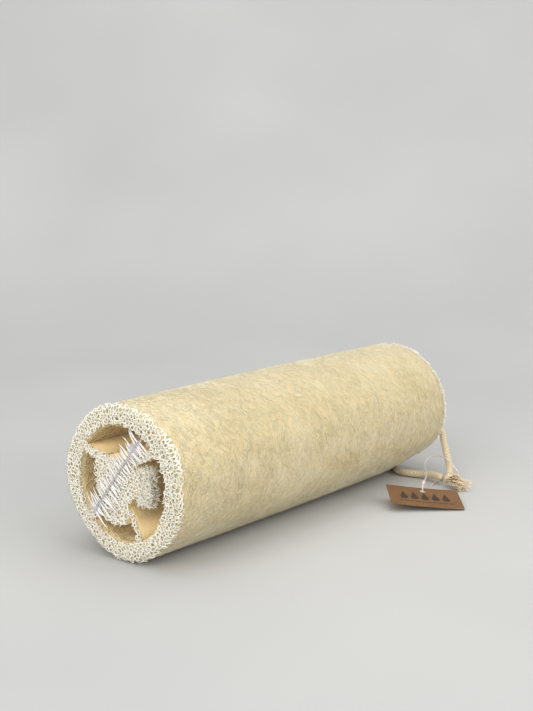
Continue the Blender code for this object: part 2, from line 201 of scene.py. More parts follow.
class GrainGroup:
    """The shared node group for fine grain and broad blotches."""

    NAME = "grain_and_blotch"

    @classmethod
    def get(cls) -> bpy.types.NodeTree:
        """Make the group the first time it is asked for.

        Returns:
            The node group.
        """
        found = bpy.data.node_groups.get(cls.NAME)
        return found or cls.build()

    @classmethod
    def build(cls) -> bpy.types.NodeTree:
        """Build the group: a place and two scales go in, a grain and a blotch value come out.

        Returns:
            The node group.
        """
        tree = bpy.data.node_groups.new(cls.NAME, "ShaderNodeTree")
        tree.interface.new_socket("Place", in_out="INPUT", socket_type="NodeSocketVector")
        for name, value in (("Grain Scale", 900.0), ("Blotch Scale", 40.0)):
            made = tree.interface.new_socket(name, in_out="INPUT", socket_type="NodeSocketFloat")
            made.default_value = value
        for name in ("Grain", "Blotch"):
            tree.interface.new_socket(name, in_out="OUTPUT", socket_type="NodeSocketFloat")
        sheet = NodeSheet(tree)
        given = sheet.add("NodeGroupInput")
        result = sheet.add("NodeGroupOutput")
        for scale, out, detail, low, high in (
            ("Grain Scale", "Grain", 3.0, 0.3, 0.7),
            ("Blotch Scale", "Blotch", 2.0, 0.35, 0.65),
        ):
            noise = sheet.add("ShaderNodeTexNoise")
            noise.inputs["Detail"].default_value = detail
            sheet.put(noise.inputs["Vector"], given.outputs["Place"])
            sheet.put(noise.inputs["Scale"], given.outputs[scale])
            spread = sheet.add("ShaderNodeMapRange")
            sheet.put(spread.inputs["Value"], noise.outputs[0])
            spread.inputs["From Min"].default_value = low
            spread.inputs["From Max"].default_value = high
            sheet.put(result.inputs[out], spread.outputs[0])
        return tree

    @classmethod
    def place(
        cls, sheet: NodeSheet, grain_scale: float, blotch_scale: float
    ) -> tuple[bpy.types.NodeSocket, bpy.types.NodeSocket]:
        """Put the group in a material, read at the piece's Object coordinates.

        Args:
            sheet: The material's node sheet.
            grain_scale: Scale of the fine grain.
            blotch_scale: Scale of the blotches.

        Returns:
            The grain and blotch sockets.
        """
        where = sheet.add("ShaderNodeTexCoord")
        group = sheet.add("ShaderNodeGroup", node_tree=cls.get())
        sheet.put(group.inputs["Place"], where.outputs["Object"])
        group.inputs["Grain Scale"].default_value = grain_scale
        group.inputs["Blotch Scale"].default_value = blotch_scale
        return group.outputs["Grain"], group.outputs["Blotch"]


@dataclass(frozen=True)
class FibreFinish:
    """Dry plant fibre or cotton: a light and a dark colour, mixed by strand, grain and blotch."""

    name: str
    light: Colour
    dark: Colour
    grain_scale: float = 900.0
    blotch_scale: float = 45.0
    strand_share: float = 0.55
    grain_share: float = 0.25
    blotch_share: float = 0.20
    roughness: float = 0.82
    sheen: float = 0.15
    bump: float = 0.35

    def build(self) -> bpy.types.Material:
        """Build the material.

        Returns:
            The material.
        """
        material, sheet, shader = new_material(self.name)
        grain, blotch = GrainGroup.place(sheet, self.grain_scale, self.blotch_scale)
        # the shade attribute holds each strand's own tone and, on some pieces, painted shade: deeper
        # fibres and the braid's grooves darker
        strand = sheet.add("ShaderNodeAttribute", attribute_name="shade").outputs["Fac"]
        share = sheet.sum("MULTIPLY", strand, self.strand_share)
        share = sheet.sum("MULTIPLY_ADD", grain, self.grain_share, share)
        share = sheet.sum("MULTIPLY_ADD", blotch, self.blotch_share, share)
        sheet.put(shader.inputs["Base Color"], sheet.mix(share, self.dark, self.light))
        shader.inputs["Roughness"].default_value = self.roughness
        shader.inputs["Sheen Weight"].default_value = self.sheen
        sheet.emboss(shader, grain, self.bump, 0.2 * MM)
        return material


@dataclass(frozen=True)
class FilmFinish:
    """Thin clear shrink film: seen by its reflections, stronger at a grazing angle; with a high least
    alpha and no metal, as for the gathers, it is a near-opaque painted white highlight.
    """

    name: str
    tint: Colour
    roughness: float
    least_alpha: float
    edge_alpha: float
    metallic: float = 1.0
    bump: float = 0.25

    def build(self) -> bpy.types.Material:
        """Build the material.

        Returns:
            The material.
        """
        material, sheet, shader = new_material(self.name)
        grain, blotch = GrainGroup.place(sheet, 260.0, 55.0)
        shader.inputs["Base Color"].default_value = self.tint
        shader.inputs["Metallic"].default_value = self.metallic
        edge = sheet.add("ShaderNodeLayerWeight")
        edge.inputs["Blend"].default_value = 0.28
        alpha = sheet.sum("MULTIPLY_ADD", edge.outputs["Facing"], self.edge_alpha, self.least_alpha)
        sheet.put(shader.inputs["Alpha"], alpha)
        rough = sheet.sum("MULTIPLY_ADD", blotch, 0.08, self.roughness)
        sheet.put(shader.inputs["Roughness"], rough)
        sheet.emboss(shader, grain, self.bump, 0.3 * MM)
        return material


@dataclass(frozen=True)
class KraftFinish:
    """Brown kraft card with a plain printed motif: a row of drops over a thin broken rule."""

    name: str = "kraft_card_print"
    light: Colour = display(128, 92, 54)
    dark: Colour = display(102, 70, 38)
    ink: Colour = display(34, 24, 18)
    drop_pitch: float = 6.4
    drops: int = 5
    drop_radius: float = 2.4
    drop_height: float = 7.2
    drop_place: float = -9.4
    rule_place: float = -14.4
    rule_half_width: float = 0.5

    def build(self) -> bpy.types.Material:
        """Build the material; the print reads the card's own UV map, in millimetres.

        Returns:
            The material.
        """
        material, sheet, shader = new_material(self.name)
        grain, blotch = GrainGroup.place(sheet, 1500.0, 120.0)
        share = sheet.sum("MULTIPLY_ADD", blotch, 0.4, sheet.sum("MULTIPLY", grain, 0.6))
        card = sheet.mix(share, self.dark, self.light)
        spot = sheet.add("ShaderNodeSeparateXYZ")
        sheet.put(spot.inputs[0], sheet.add("ShaderNodeUVMap", uv_map="card").outputs[0])
        printed = self.motif(sheet, spot.outputs[0], spot.outputs[1])
        worn = sheet.sum("MULTIPLY", printed, sheet.sum("MULTIPLY_ADD", grain, 0.25, 0.72))
        sheet.put(shader.inputs["Base Color"], sheet.mix(worn, card, self.ink))
        shader.inputs["Roughness"].default_value = 0.68
        sheet.emboss(shader, grain, 0.25, 0.1 * MM)
        return material

    def motif(
        self, sheet: NodeSheet, along: bpy.types.NodeSocket, across: bpy.types.NodeSocket
    ) -> bpy.types.NodeSocket:
        """Draw the mask of the drops and the rule.

        Args:
            sheet: The material's node sheet.
            along: Place along the card, in millimetres from its middle.
            across: Place across the card, in millimetres from the hole.

        Returns:
            The mask's socket.
        """
        half = self.drops * self.drop_pitch / 2
        in_cell = sheet.sum("PINGPONG", sheet.sum("ADD", along, half), self.drop_pitch / 2)
        side = sheet.sum("SUBTRACT", self.drop_pitch / 2, in_cell)
        up = sheet.sum("SUBTRACT", across, self.drop_place)
        reach = sheet.sum(
            "SQRT",
            sheet.sum("ADD", sheet.sum("MULTIPLY", side, side), sheet.sum("MULTIPLY", up, up)),
        )
        belly = sheet.sum("LESS_THAN", reach, self.drop_radius)
        slope = -self.drop_radius / self.drop_height
        taper = sheet.sum("MULTIPLY_ADD", up, slope, self.drop_radius)
        point = sheet.sum(
            "MULTIPLY", sheet.sum("LESS_THAN", side, taper), sheet.sum("GREATER_THAN", up, 0.0)
        )
        drops = sheet.sum("MAXIMUM", belly, point)
        rule = sheet.sum(
            "COMPARE", across, self.rule_place, self.rule_half_width
        )
        gaps = sheet.sum("GREATER_THAN", sheet.sum("PINGPONG", along, 1.7), 0.35)
        marks = sheet.sum("MAXIMUM", drops, sheet.sum("MULTIPLY", rule, gaps))
        return sheet.sum("MULTIPLY", marks, sheet.sum("COMPARE", along, 0.0, half))


@dataclass(frozen=True)
class NylonFinish:
    """Milky clear nylon."""

    name: str = "milky_nylon"
    colour: Colour = display(238, 224, 220)
    alpha: float = 0.85

    def build(self) -> bpy.types.Material:
        """Build the material.

        Returns:
            The material.
        """
        material, sheet, shader = new_material(self.name)
        grain, _ = GrainGroup.place(sheet, 1200.0, 100.0)
        darker = tuple(0.86 * c for c in self.colour[:3]) + (1.0,)
        sheet.put(shader.inputs["Base Color"], sheet.mix(grain, darker, self.colour))
        shader.inputs["Roughness"].default_value = 0.3
        shader.inputs["Alpha"].default_value = self.alpha
        return material


@dataclass(frozen=True)
class StudioFinish:
    """Matt paper of the floor and the sweep behind."""

    name: str = "studio_paper"
    light: Colour = display(192, 192, 189)
    dark: Colour = display(184, 184, 182)

    def build(self) -> bpy.types.Material:
        """Build the material.

        Returns:
            The material.
        """
        material, sheet, shader = new_material(self.name)
        _, blotch = GrainGroup.place(sheet, 700.0, 3.0)
        sheet.put(shader.inputs["Base Color"], sheet.mix(blotch, self.dark, self.light))
        shader.inputs["Roughness"].default_value = 0.85
        return material


@dataclass
class Finishes:
    """Every finish of the object, built once."""

    mat: bpy.types.Material = field(init=False)
    mat_base_painted_shade: bpy.types.Material = field(init=False)
    cut: bpy.types.Material = field(init=False)
    inner: bpy.types.Material = field(init=False)
    inner_base: bpy.types.Material = field(init=False)
    film: bpy.types.Material = field(init=False)
    film_end: bpy.types.Material = field(init=False)
    film_gathered_painted_highlight: bpy.types.Material = field(init=False)
    film_patch: bpy.types.Material = field(init=False)
    cotton: bpy.types.Material = field(init=False)
    yarn: bpy.types.Material = field(init=False)
    card: bpy.types.Material = field(init=False)
    nylon: bpy.types.Material = field(init=False)

    def __post_init__(self) -> None:
        """Build the materials."""
        self.mat = FibreFinish("fibre_mat", display(249, 241, 210), display(214, 199, 150)).build()
        # painted shade: the base is darker than the fibre mat, standing for the shade between the
        # fibres
        self.mat_base_painted_shade = FibreFinish(
            "fibre_mat_base", display(230, 214, 170), display(200, 178, 128), bump=0.6
        ).build()
        self.cut = FibreFinish(
            "cut_fibre", display(255, 255, 248), display(250, 238, 206), blotch_share=0.1
        ).build()
        self.inner = FibreFinish(
            "inner_fibre", display(251, 236, 192), display(228, 198, 138)
        ).build()
        self.inner_base = FibreFinish(
            "inner_fibre_base", display(247, 224, 170), display(226, 192, 130), bump=0.6
        ).build()
        self.film = FilmFinish(
            "clear_film", (0.93, 0.93, 0.96, 1.0), 0.16, 0.0, 0.16
        ).build()
        self.film_end = FilmFinish(
            "clear_film_end", (0.93, 0.93, 0.96, 1.0), 0.1, 0.0, 0.05
        ).build()
        # painted highlight: near-opaque white film for the light caught on the pleats
        self.film_gathered_painted_highlight = FilmFinish(
            "gathered_film", (0.98, 0.97, 0.94, 1.0), 0.3, 0.85, 0.15, metallic=0.0
        ).build()
        self.film_patch = FilmFinish(
            "crumpled_film", (0.74, 0.72, 0.75, 1.0), 0.12, 0.42, 0.3, metallic=0.3, bump=0.6
        ).build()
        # the dark colour shows mostly in the braid's grooves, as painted shade; grain and blotch add
        # the cotton's own uneven tone
        self.cotton = FibreFinish(
            "braided_cotton", display(238, 221, 186), display(126, 94, 58),
            grain_scale=1600.0, strand_share=0.72, blotch_share=0.1,
        ).build()
        self.yarn = FibreFinish(
            "cotton_yarn", display(252, 240, 214), display(214, 188, 146), grain_scale=1600.0
        ).build()
        self.card = KraftFinish().build()
        self.nylon = NylonFinish().build()


# Mesh building


def unit(vectors: np.ndarray) -> np.ndarray:
    """Vectors at length one.

    Args:
        vectors: Any array of vectors along its last axis.

    Returns:
        The array with each vector at length one.
    """
    return vectors / np.maximum(np.linalg.norm(vectors, axis=-1, keepdims=True), 1e-12)


def finish_piece(
    mesh: bpy.types.Mesh,
    material: bpy.types.Material,
    replaced: tuple[str, ...] = (),
    body: Body = Body.LOOFAH,
) -> bpy.types.Object:
    """Put a mesh in the scene as a piece of the object.

    Args:
        mesh: The mesh, with its place in its own points.
        material: Its material.
        replaced: CAD nodes that it stands for.
        body: The body that it rides on.

    Returns:
        The piece.
    """
    mesh.materials.clear()
    mesh.materials.append(material)
    piece = bpy.data.objects.new(mesh.name, mesh)
    bpy.context.scene.collection.objects.link(piece)
    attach(piece, body.value)
    if replaced:
        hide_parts(*replaced)
    LOG.info("%s: %d faces", piece.name, len(mesh.polygons))
    return piece


def applied(piece: bpy.types.Object, modifier: bpy.types.Modifier) -> None:
    """Apply one modifier of a piece.

    Args:
        piece: The piece.
        modifier: The modifier.
    """
    bpy.ops.object.select_all(action="DESELECT")
    bpy.context.view_layer.objects.active = piece
    piece.select_set(True)
    bpy.ops.object.modifier_apply(modifier=modifier.name)


def mesh_of(
    name: str, points: np.ndarray, faces: list[np.ndarray], shade: np.ndarray | None = None
) -> bpy.types.Mesh:
    """A smooth mesh from points and faces.

    Args:
        name: The mesh's name.
        points: Its points, (n, 3).
        faces: Arrays of faces, each (m, corners).
        shade: A value at each point, for its colour.

    Returns:
        The mesh.
    """
    mesh = bpy.data.meshes.new(name)
    corners = np.concatenate([part.ravel() for part in faces]).astype(np.int32)
    counts = np.concatenate([np.full(len(part), part.shape[1]) for part in faces])
    starts = np.concatenate([[0], np.cumsum(counts)[:-1]]).astype(np.int32)
    mesh.vertices.add(len(points))
    mesh.vertices.foreach_set("co", points.astype(np.float32).ravel())
    mesh.loops.add(len(corners))
    mesh.loops.foreach_set("vertex_index", corners)
    mesh.polygons.add(len(counts))
    mesh.polygons.foreach_set("loop_start", starts)
    mesh.update(calc_edges=True)
    mesh.shade_smooth()
    if shade is not None:
        layer = mesh.attributes.new("shade", "FLOAT", "POINT")
        layer.data.foreach_set("value", np.clip(shade, 0, 1).astype(np.float32).ravel())
    return mesh


def tube_mesh(
    name: str,
    paths: np.ndarray,
    normals: np.ndarray,
    radii: np.ndarray,
    shades: np.ndarray,
    sides: int,
) -> bpy.types.Mesh:
    """Many closed tubes as one mesh.

    Args:
        name: The mesh's name.
        paths: Centrelines, (tubes, points, 3).
        normals: A direction across each tube at each point, (tubes, points, 3).
        radii: Radii that broadcast to (tubes, points, sides).
        shades: Colour values that broadcast to (tubes, points, sides).
        sides: How many sides a tube has.

    Returns:
        The mesh.
    """
    count, length = paths.shape[:2]
    tangents = unit(np.gradient(paths, axis=1))
    across = unit(normals - tangents * np.sum(normals * tangents, axis=-1, keepdims=True))
    other = np.cross(tangents, across)
    angles = TURN * np.arange(sides) / sides
    shape = (count, length, sides)
    radius = np.broadcast_to(radii, shape)[..., None]
    spread = across[:, :, None] * np.cos(angles)[:, None]
    spread = spread + other[:, :, None] * np.sin(angles)[:, None]
    points = paths[:, :, None] + radius * spread
    index = np.arange(count * length * sides).reshape(shape)
    turned = np.roll(index, -1, axis=2)
    quads = np.stack(
        [index[:, :-1], turned[:, :-1], turned[:, 1:], index[:, 1:]], axis=-1
    ).reshape(-1, 4)
    caps = [index[:, 0, ::-1], index[:, -1]]
    return mesh_of(name, points.reshape(-1, 3), [quads, *caps], np.broadcast_to(shades, shape))


def grid_faces(rows: int, columns: int, closed: bool) -> np.ndarray:
    """Faces of a grid of points.

    Args:
        rows: Rows of points.
        columns: Points in a row.
        closed: Whether each row runs back to its start.

    Returns:
        The faces, (m, 4).
    """
    index = np.arange(rows * columns).reshape(rows, columns)
    if closed:
        index = np.concatenate([index, index[:, :1]], axis=1)
    return np.stack(
        [index[:-1, :-1], index[:-1, 1:], index[1:, 1:], index[1:, :-1]], axis=-1
    ).reshape(-1, 4)


def smooth_route(points: np.ndarray, spacing: float) -> np.ndarray:
    """Points at an even spacing on a smooth curve through the given places.

    Args:
        points: Places, (n, 3).
        spacing: Distance between the new points.

    Returns:
        The new points.
    """
    ends = np.vstack([2 * points[0] - points[1], points, 2 * points[-1] - points[-2]])
    t = np.linspace(0, 1, 24, endpoint=False)[:, None]
    fine = [
        (
            2 * b
            + (c - a) * t
            + (2 * a - 5 * b + 4 * c - d) * t**2
            + (3 * b - a - 3 * c + d) * t**3
        )
        / 2
        for a, b, c, d in zip(ends, ends[1:], ends[2:], ends[3:])
    ]
    line = np.vstack([*fine, points[-1]])
    along = np.concatenate([[0], np.cumsum(np.linalg.norm(np.diff(line, axis=0), axis=1))])
    wanted = np.linspace(0, along[-1], max(3, round(along[-1] / spacing) + 1))
    return np.stack([np.interp(wanted, along, line[:, k]) for k in range(3)], axis=1)


def carried_normals(path: np.ndarray) -> np.ndarray:
    """Directions across a path that turn with it and never twist.

    Args:
        path: The path's points, (n, 3).

    Returns:
        A direction at each point, (n, 3).
    """
    tangents = unit(np.gradient(path, axis=0))
    start = np.cross(tangents[0], [0.31, 0.17, 0.93])
    normals = [start / np.linalg.norm(start)]
    for tangent in tangents[1:]:
        carried = normals[-1] - tangent * float(normals[-1] @ tangent)
        normals.append(carried / np.linalg.norm(carried))
    return np.array(normals)


def route_length(path: np.ndarray) -> float:
    """Length of a path.

    Args:
        path: The path's points, (n, 3).

    Returns:
        The length.
    """
    return float(np.linalg.norm(np.diff(path, axis=0), axis=1).sum())


def ripple(x: np.ndarray, y: np.ndarray, seed: int, scale: float) -> np.ndarray:
    """A smooth uneven value from -1 to 1 over two coordinates.

    Args:
        x: First coordinate.
        y: Second coordinate.
        seed: Seed of the pattern.
        scale: About how many radians a wave takes for each unit.

    Returns:
        The value at each place.
    """
    rng = np.random.default_rng(seed)
    total = np.zeros(np.broadcast(x, y).shape)
    for _ in range(6):
        heading, phase, stretch = rng.uniform(0, TURN), rng.uniform(0, TURN), rng.uniform(0.6, 1.7)
        along = x * math.cos(heading) + y * math.sin(heading)
        total = total + np.sin(scale * stretch * along + phase)
    return np.clip(total / 3, -1, 1)


# The loofah


def node_tree_of(name: str) -> BVHTree:
    """A search tree of a CAD node.

    Args:
        name: The node's name.

    Returns:
        The tree.
    """
    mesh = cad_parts[name].data
    corners = [tuple(v.co) for v in mesh.vertices]
    return BVHTree.FromPolygons(corners, [tuple(p.vertices) for p in mesh.polygons])


@dataclass
class BodyShape:
    """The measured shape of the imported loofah: its radius all over and its two cut faces."""

    stations: int = 72
    spokes: int = 144
    solids: tuple[str, ...] = (
        "loofah_wall",
        "loofah_core",
        "web_upper_left",
        "web_upper_right",
        "web_lower_right",
        "web_lower_left",
    )
    edge: float = 0.4 * MM
    bridge: float = 0.45 * MM
    radii: np.ndarray = field(init=False)
    trees: list[BVHTree] = field(init=False)

    def __post_init__(self) -> None:
        """Measure the radius grid."""
        self.trees = [node_tree_of(name) for name in self.solids]
        wall = self.trees[0]
        reach = 0.09
        self.radii = np.zeros((self.stations, self.spokes))
        places = np.linspace(NEAR_FACE + self.edge, FAR_FACE - self.edge, self.stations)
        for i, x in enumerate(places):
            for k in range(self.spokes):
                angle = TURN * k / self.spokes
                out = Vector((0, -math.cos(angle), math.sin(angle)))
                hit = wall.ray_cast(Vector((x, AXIS_Y, AXIS_Z)) + out * reach, -out)
                self.radii[i, k] = reach - hit[3]

    def radius(self, x: np.ndarray, angle: np.ndarray) -> np.ndarray:
        """Radius of the body.

        Args:
            x: Places along the loofah.
            angle: Angles from the right, in radians.

        Returns:
            The radius at each place.
        """
        span = FAR_FACE - NEAR_FACE - 2 * self.edge
        row = np.clip((x - NEAR_FACE - self.edge) / span, 0, 1) * (self.stations - 1)
        column = (angle / TURN) % 1 * self.spokes
        i = np.minimum(row.astype(int), self.stations - 2)
        k = column.astype(int) % self.spokes
        following = (k + 1) % self.spokes
        u, v = row - i, column - column.astype(int)
        low = self.radii[i, k] * (1 - v) + self.radii[i, following] * v
        high = self.radii[i + 1, k] * (1 - v) + self.radii[i + 1, following] * v
        return low * (1 - u) + high * u

    def place(self, x: np.ndarray, angle: np.ndarray, radius: np.ndarray) -> np.ndarray:
        """World places for places round the axis.

        Args:
            x: Places along the loofah.
            angle: Angles from the right.
            radius: Distances from the axis.

        Returns:
            The places, with a last axis of 3.
        """
        x, angle, radius = np.broadcast_arrays(x, angle, radius)
        return np.stack(
            [x, AXIS_Y - radius * np.cos(angle), AXIS_Z + radius * np.sin(angle)], axis=-1
        )

    def face_depth(self, right: float, up: float, end: End) -> float | None:
        """How deep below the end plane the fibre starts at a spot on a cut face.

        Args:
            right: Place to the right of the axis.
            up: Place over the axis.
            end: Which end.

        Returns:
            The depth, or None over an open chamber.
        """
        plane = NEAR_FACE if end is End.NEAR else FAR_FACE
        before = 0.03
        depths = []
        for dy, dz in ((0, 0), (1, 0), (-1, 0), (0, 1), (0, -1)):
            start = Vector(
                (
                    plane - end.value * before,
                    AXIS_Y - right - dy * self.bridge,
                    AXIS_Z + up + dz * self.bridge,
                )
            )
            for tree in self.trees:
                hit = tree.ray_cast(start, Vector((end.value, 0, 0)), before + 3 * MM)
                if hit[0] is not None:
                    depths.append(hit[3] - before)
            if depths:
                return min(depths)
        return None


@dataclass
class FibreMat:
    """The dense mat of fine fibres round the body, over a base darkened as painted shade between the
    fibres.
    """

    shape: BodyShape
    finishes: Finishes
    strands: int = 19500
    pieces: int = 3
    points: int = 5
    sides: int = 3
    base_inset: float = 0.75 * MM
    face_inset: float = 2.6 * MM
    strand_length: tuple[float, float] = (3.5, 11)
    strand_radius: tuple[float, float] = (0.11, 0.21)
    strand_lean: float = 0.62

    def build(self) -> None:
        """Build the base and the fibres."""
        self.build_base()
        share = self.strands // self.pieces
        for number in range(self.pieces):
            self.build_strands(f"fibre_mat_{number + 1}", share, 40 + number)

    def build_base(self) -> None:
        """Build the wall under the fibres, drawn in at its outside and at both cut ends."""
        rows, columns = 100, 160
        x = np.linspace(NEAR_FACE + self.face_inset, FAR_FACE - self.face_inset, rows)[:, None]
        angle = (TURN * np.arange(columns) / columns)[None]
        rough = 0.2 * MM * ripple(x / MM, angle * 42, 7, 1.3)
        outer = self.shape.place(x, angle, self.shape.radius(x, angle) - self.base_inset + rough)
        uneven = 0.35 * MM * ripple(x / MM, angle * 31, 8, 0.9)
        inner = self.shape.place(x[::-1], angle, CAVITY_RADIUS - 0.1 * MM - uneven)
        points = np.concatenate([outer, inner]).reshape(-1, 3)
        # painted shade: the base is darker than the fibres for the shade between them; its inner
        # side, in the chambers, is set darker still
        shade = np.concatenate([np.full(rows * columns, 0.5), np.full(rows * columns, 0.35)])
        index = np.arange(2 * rows * columns).reshape(2 * rows, columns)
        loop = np.concatenate([index, index[:1]])
        loop = np.concatenate([loop, loop[:, :1]], axis=1)
        faces = np.stack(
            [loop[:-1, :-1], loop[1:, :-1], loop[1:, 1:], loop[:-1, 1:]], axis=-1
        ).reshape(-1, 4)
        mesh = mesh_of("fibre_wall_base", points, [faces], shade)
        recalculated(mesh)
        finish_piece(mesh, self.finishes.mat_base_painted_shade, ("loofah_wall",))

    def build_strands(self, name: str, count: int, seed: int) -> None:
        """Build one share of the fibres.

        Args:
            name: The piece's name.
            count: How many fibres.
            seed: Seed of their places.
        """
        rng = np.random.default_rng(seed)
        x0 = rng.uniform(NEAR_FACE + 0.6 * MM, FAR_FACE - 0.6 * MM, count)[:, None]
        angle0 = rng.uniform(0, TURN, count)[:, None]
        length = rng.uniform(*self.strand_length, count)[:, None] * MM
        heading = rng.normal(0, self.strand_lean, count)[:, None]
        heading = heading + 0.12 * ripple(x0 / MM, angle0 * 42, 11, 0.12)
        curl = rng.normal(0, 0.4, count)[:, None]
        s = np.linspace(-0.5, 0.5, self.points)[None]
        way = heading + curl * s * 2
        x = x0 + np.sin(way) * s * length
        low, high = NEAR_FACE + 0.4 * MM, FAR_FACE - 0.4 * MM
        x = np.clip(x, low, high)
        around = np.cos(way) * s * length
        angle = angle0 + around / (42 * MM)
        thick = rng.uniform(*self.strand_radius, count)[:, None] * MM
        dip = rng.uniform(0.25, 0.9, count)[:, None] * MM * (2 * s) ** 2
        depth = rng.uniform(0.0, 0.42, count)[:, None] * MM + dip + thick
        radius = self.shape.radius(x, angle) - depth
        paths = self.shape.place(x, angle, radius)
        outward = self.shape.place(x * 0, angle, np.ones_like(x))
        outward[..., 1] -= AXIS_Y
        outward[..., 2] -= AXIS_Z
        ends = 1 - 0.5 * (2 * np.abs(s)) ** 3
        patch = 0.5 + 0.22 * ripple(x0 / MM, angle0 * 42, 12, 0.09)
        # painted shade: strands are darker where their ends dip deeper into the mat; the patch and
        # the random part are the fibre's own tone
        shade = patch + rng.normal(0, 0.2, count)[:, None] - 0.35 * dip / MM
        mesh = tube_mesh(
            name, paths, outward, (thick * ends)[..., None], shade[..., None], self.sides
        )
        finish_piece(mesh, self.finishes.mat)


def recalculated(mesh: bpy.types.Mesh) -> None:
    """Point a closed mesh's faces outwards.

    Args:
        mesh: The mesh.
    """
    work = bmesh.new()
    work.from_mesh(mesh)
    bmesh.ops.recalc_face_normals(work, faces=work.faces)
    work.to_mesh(mesh)
    work.free()
    mesh.shade_smooth()


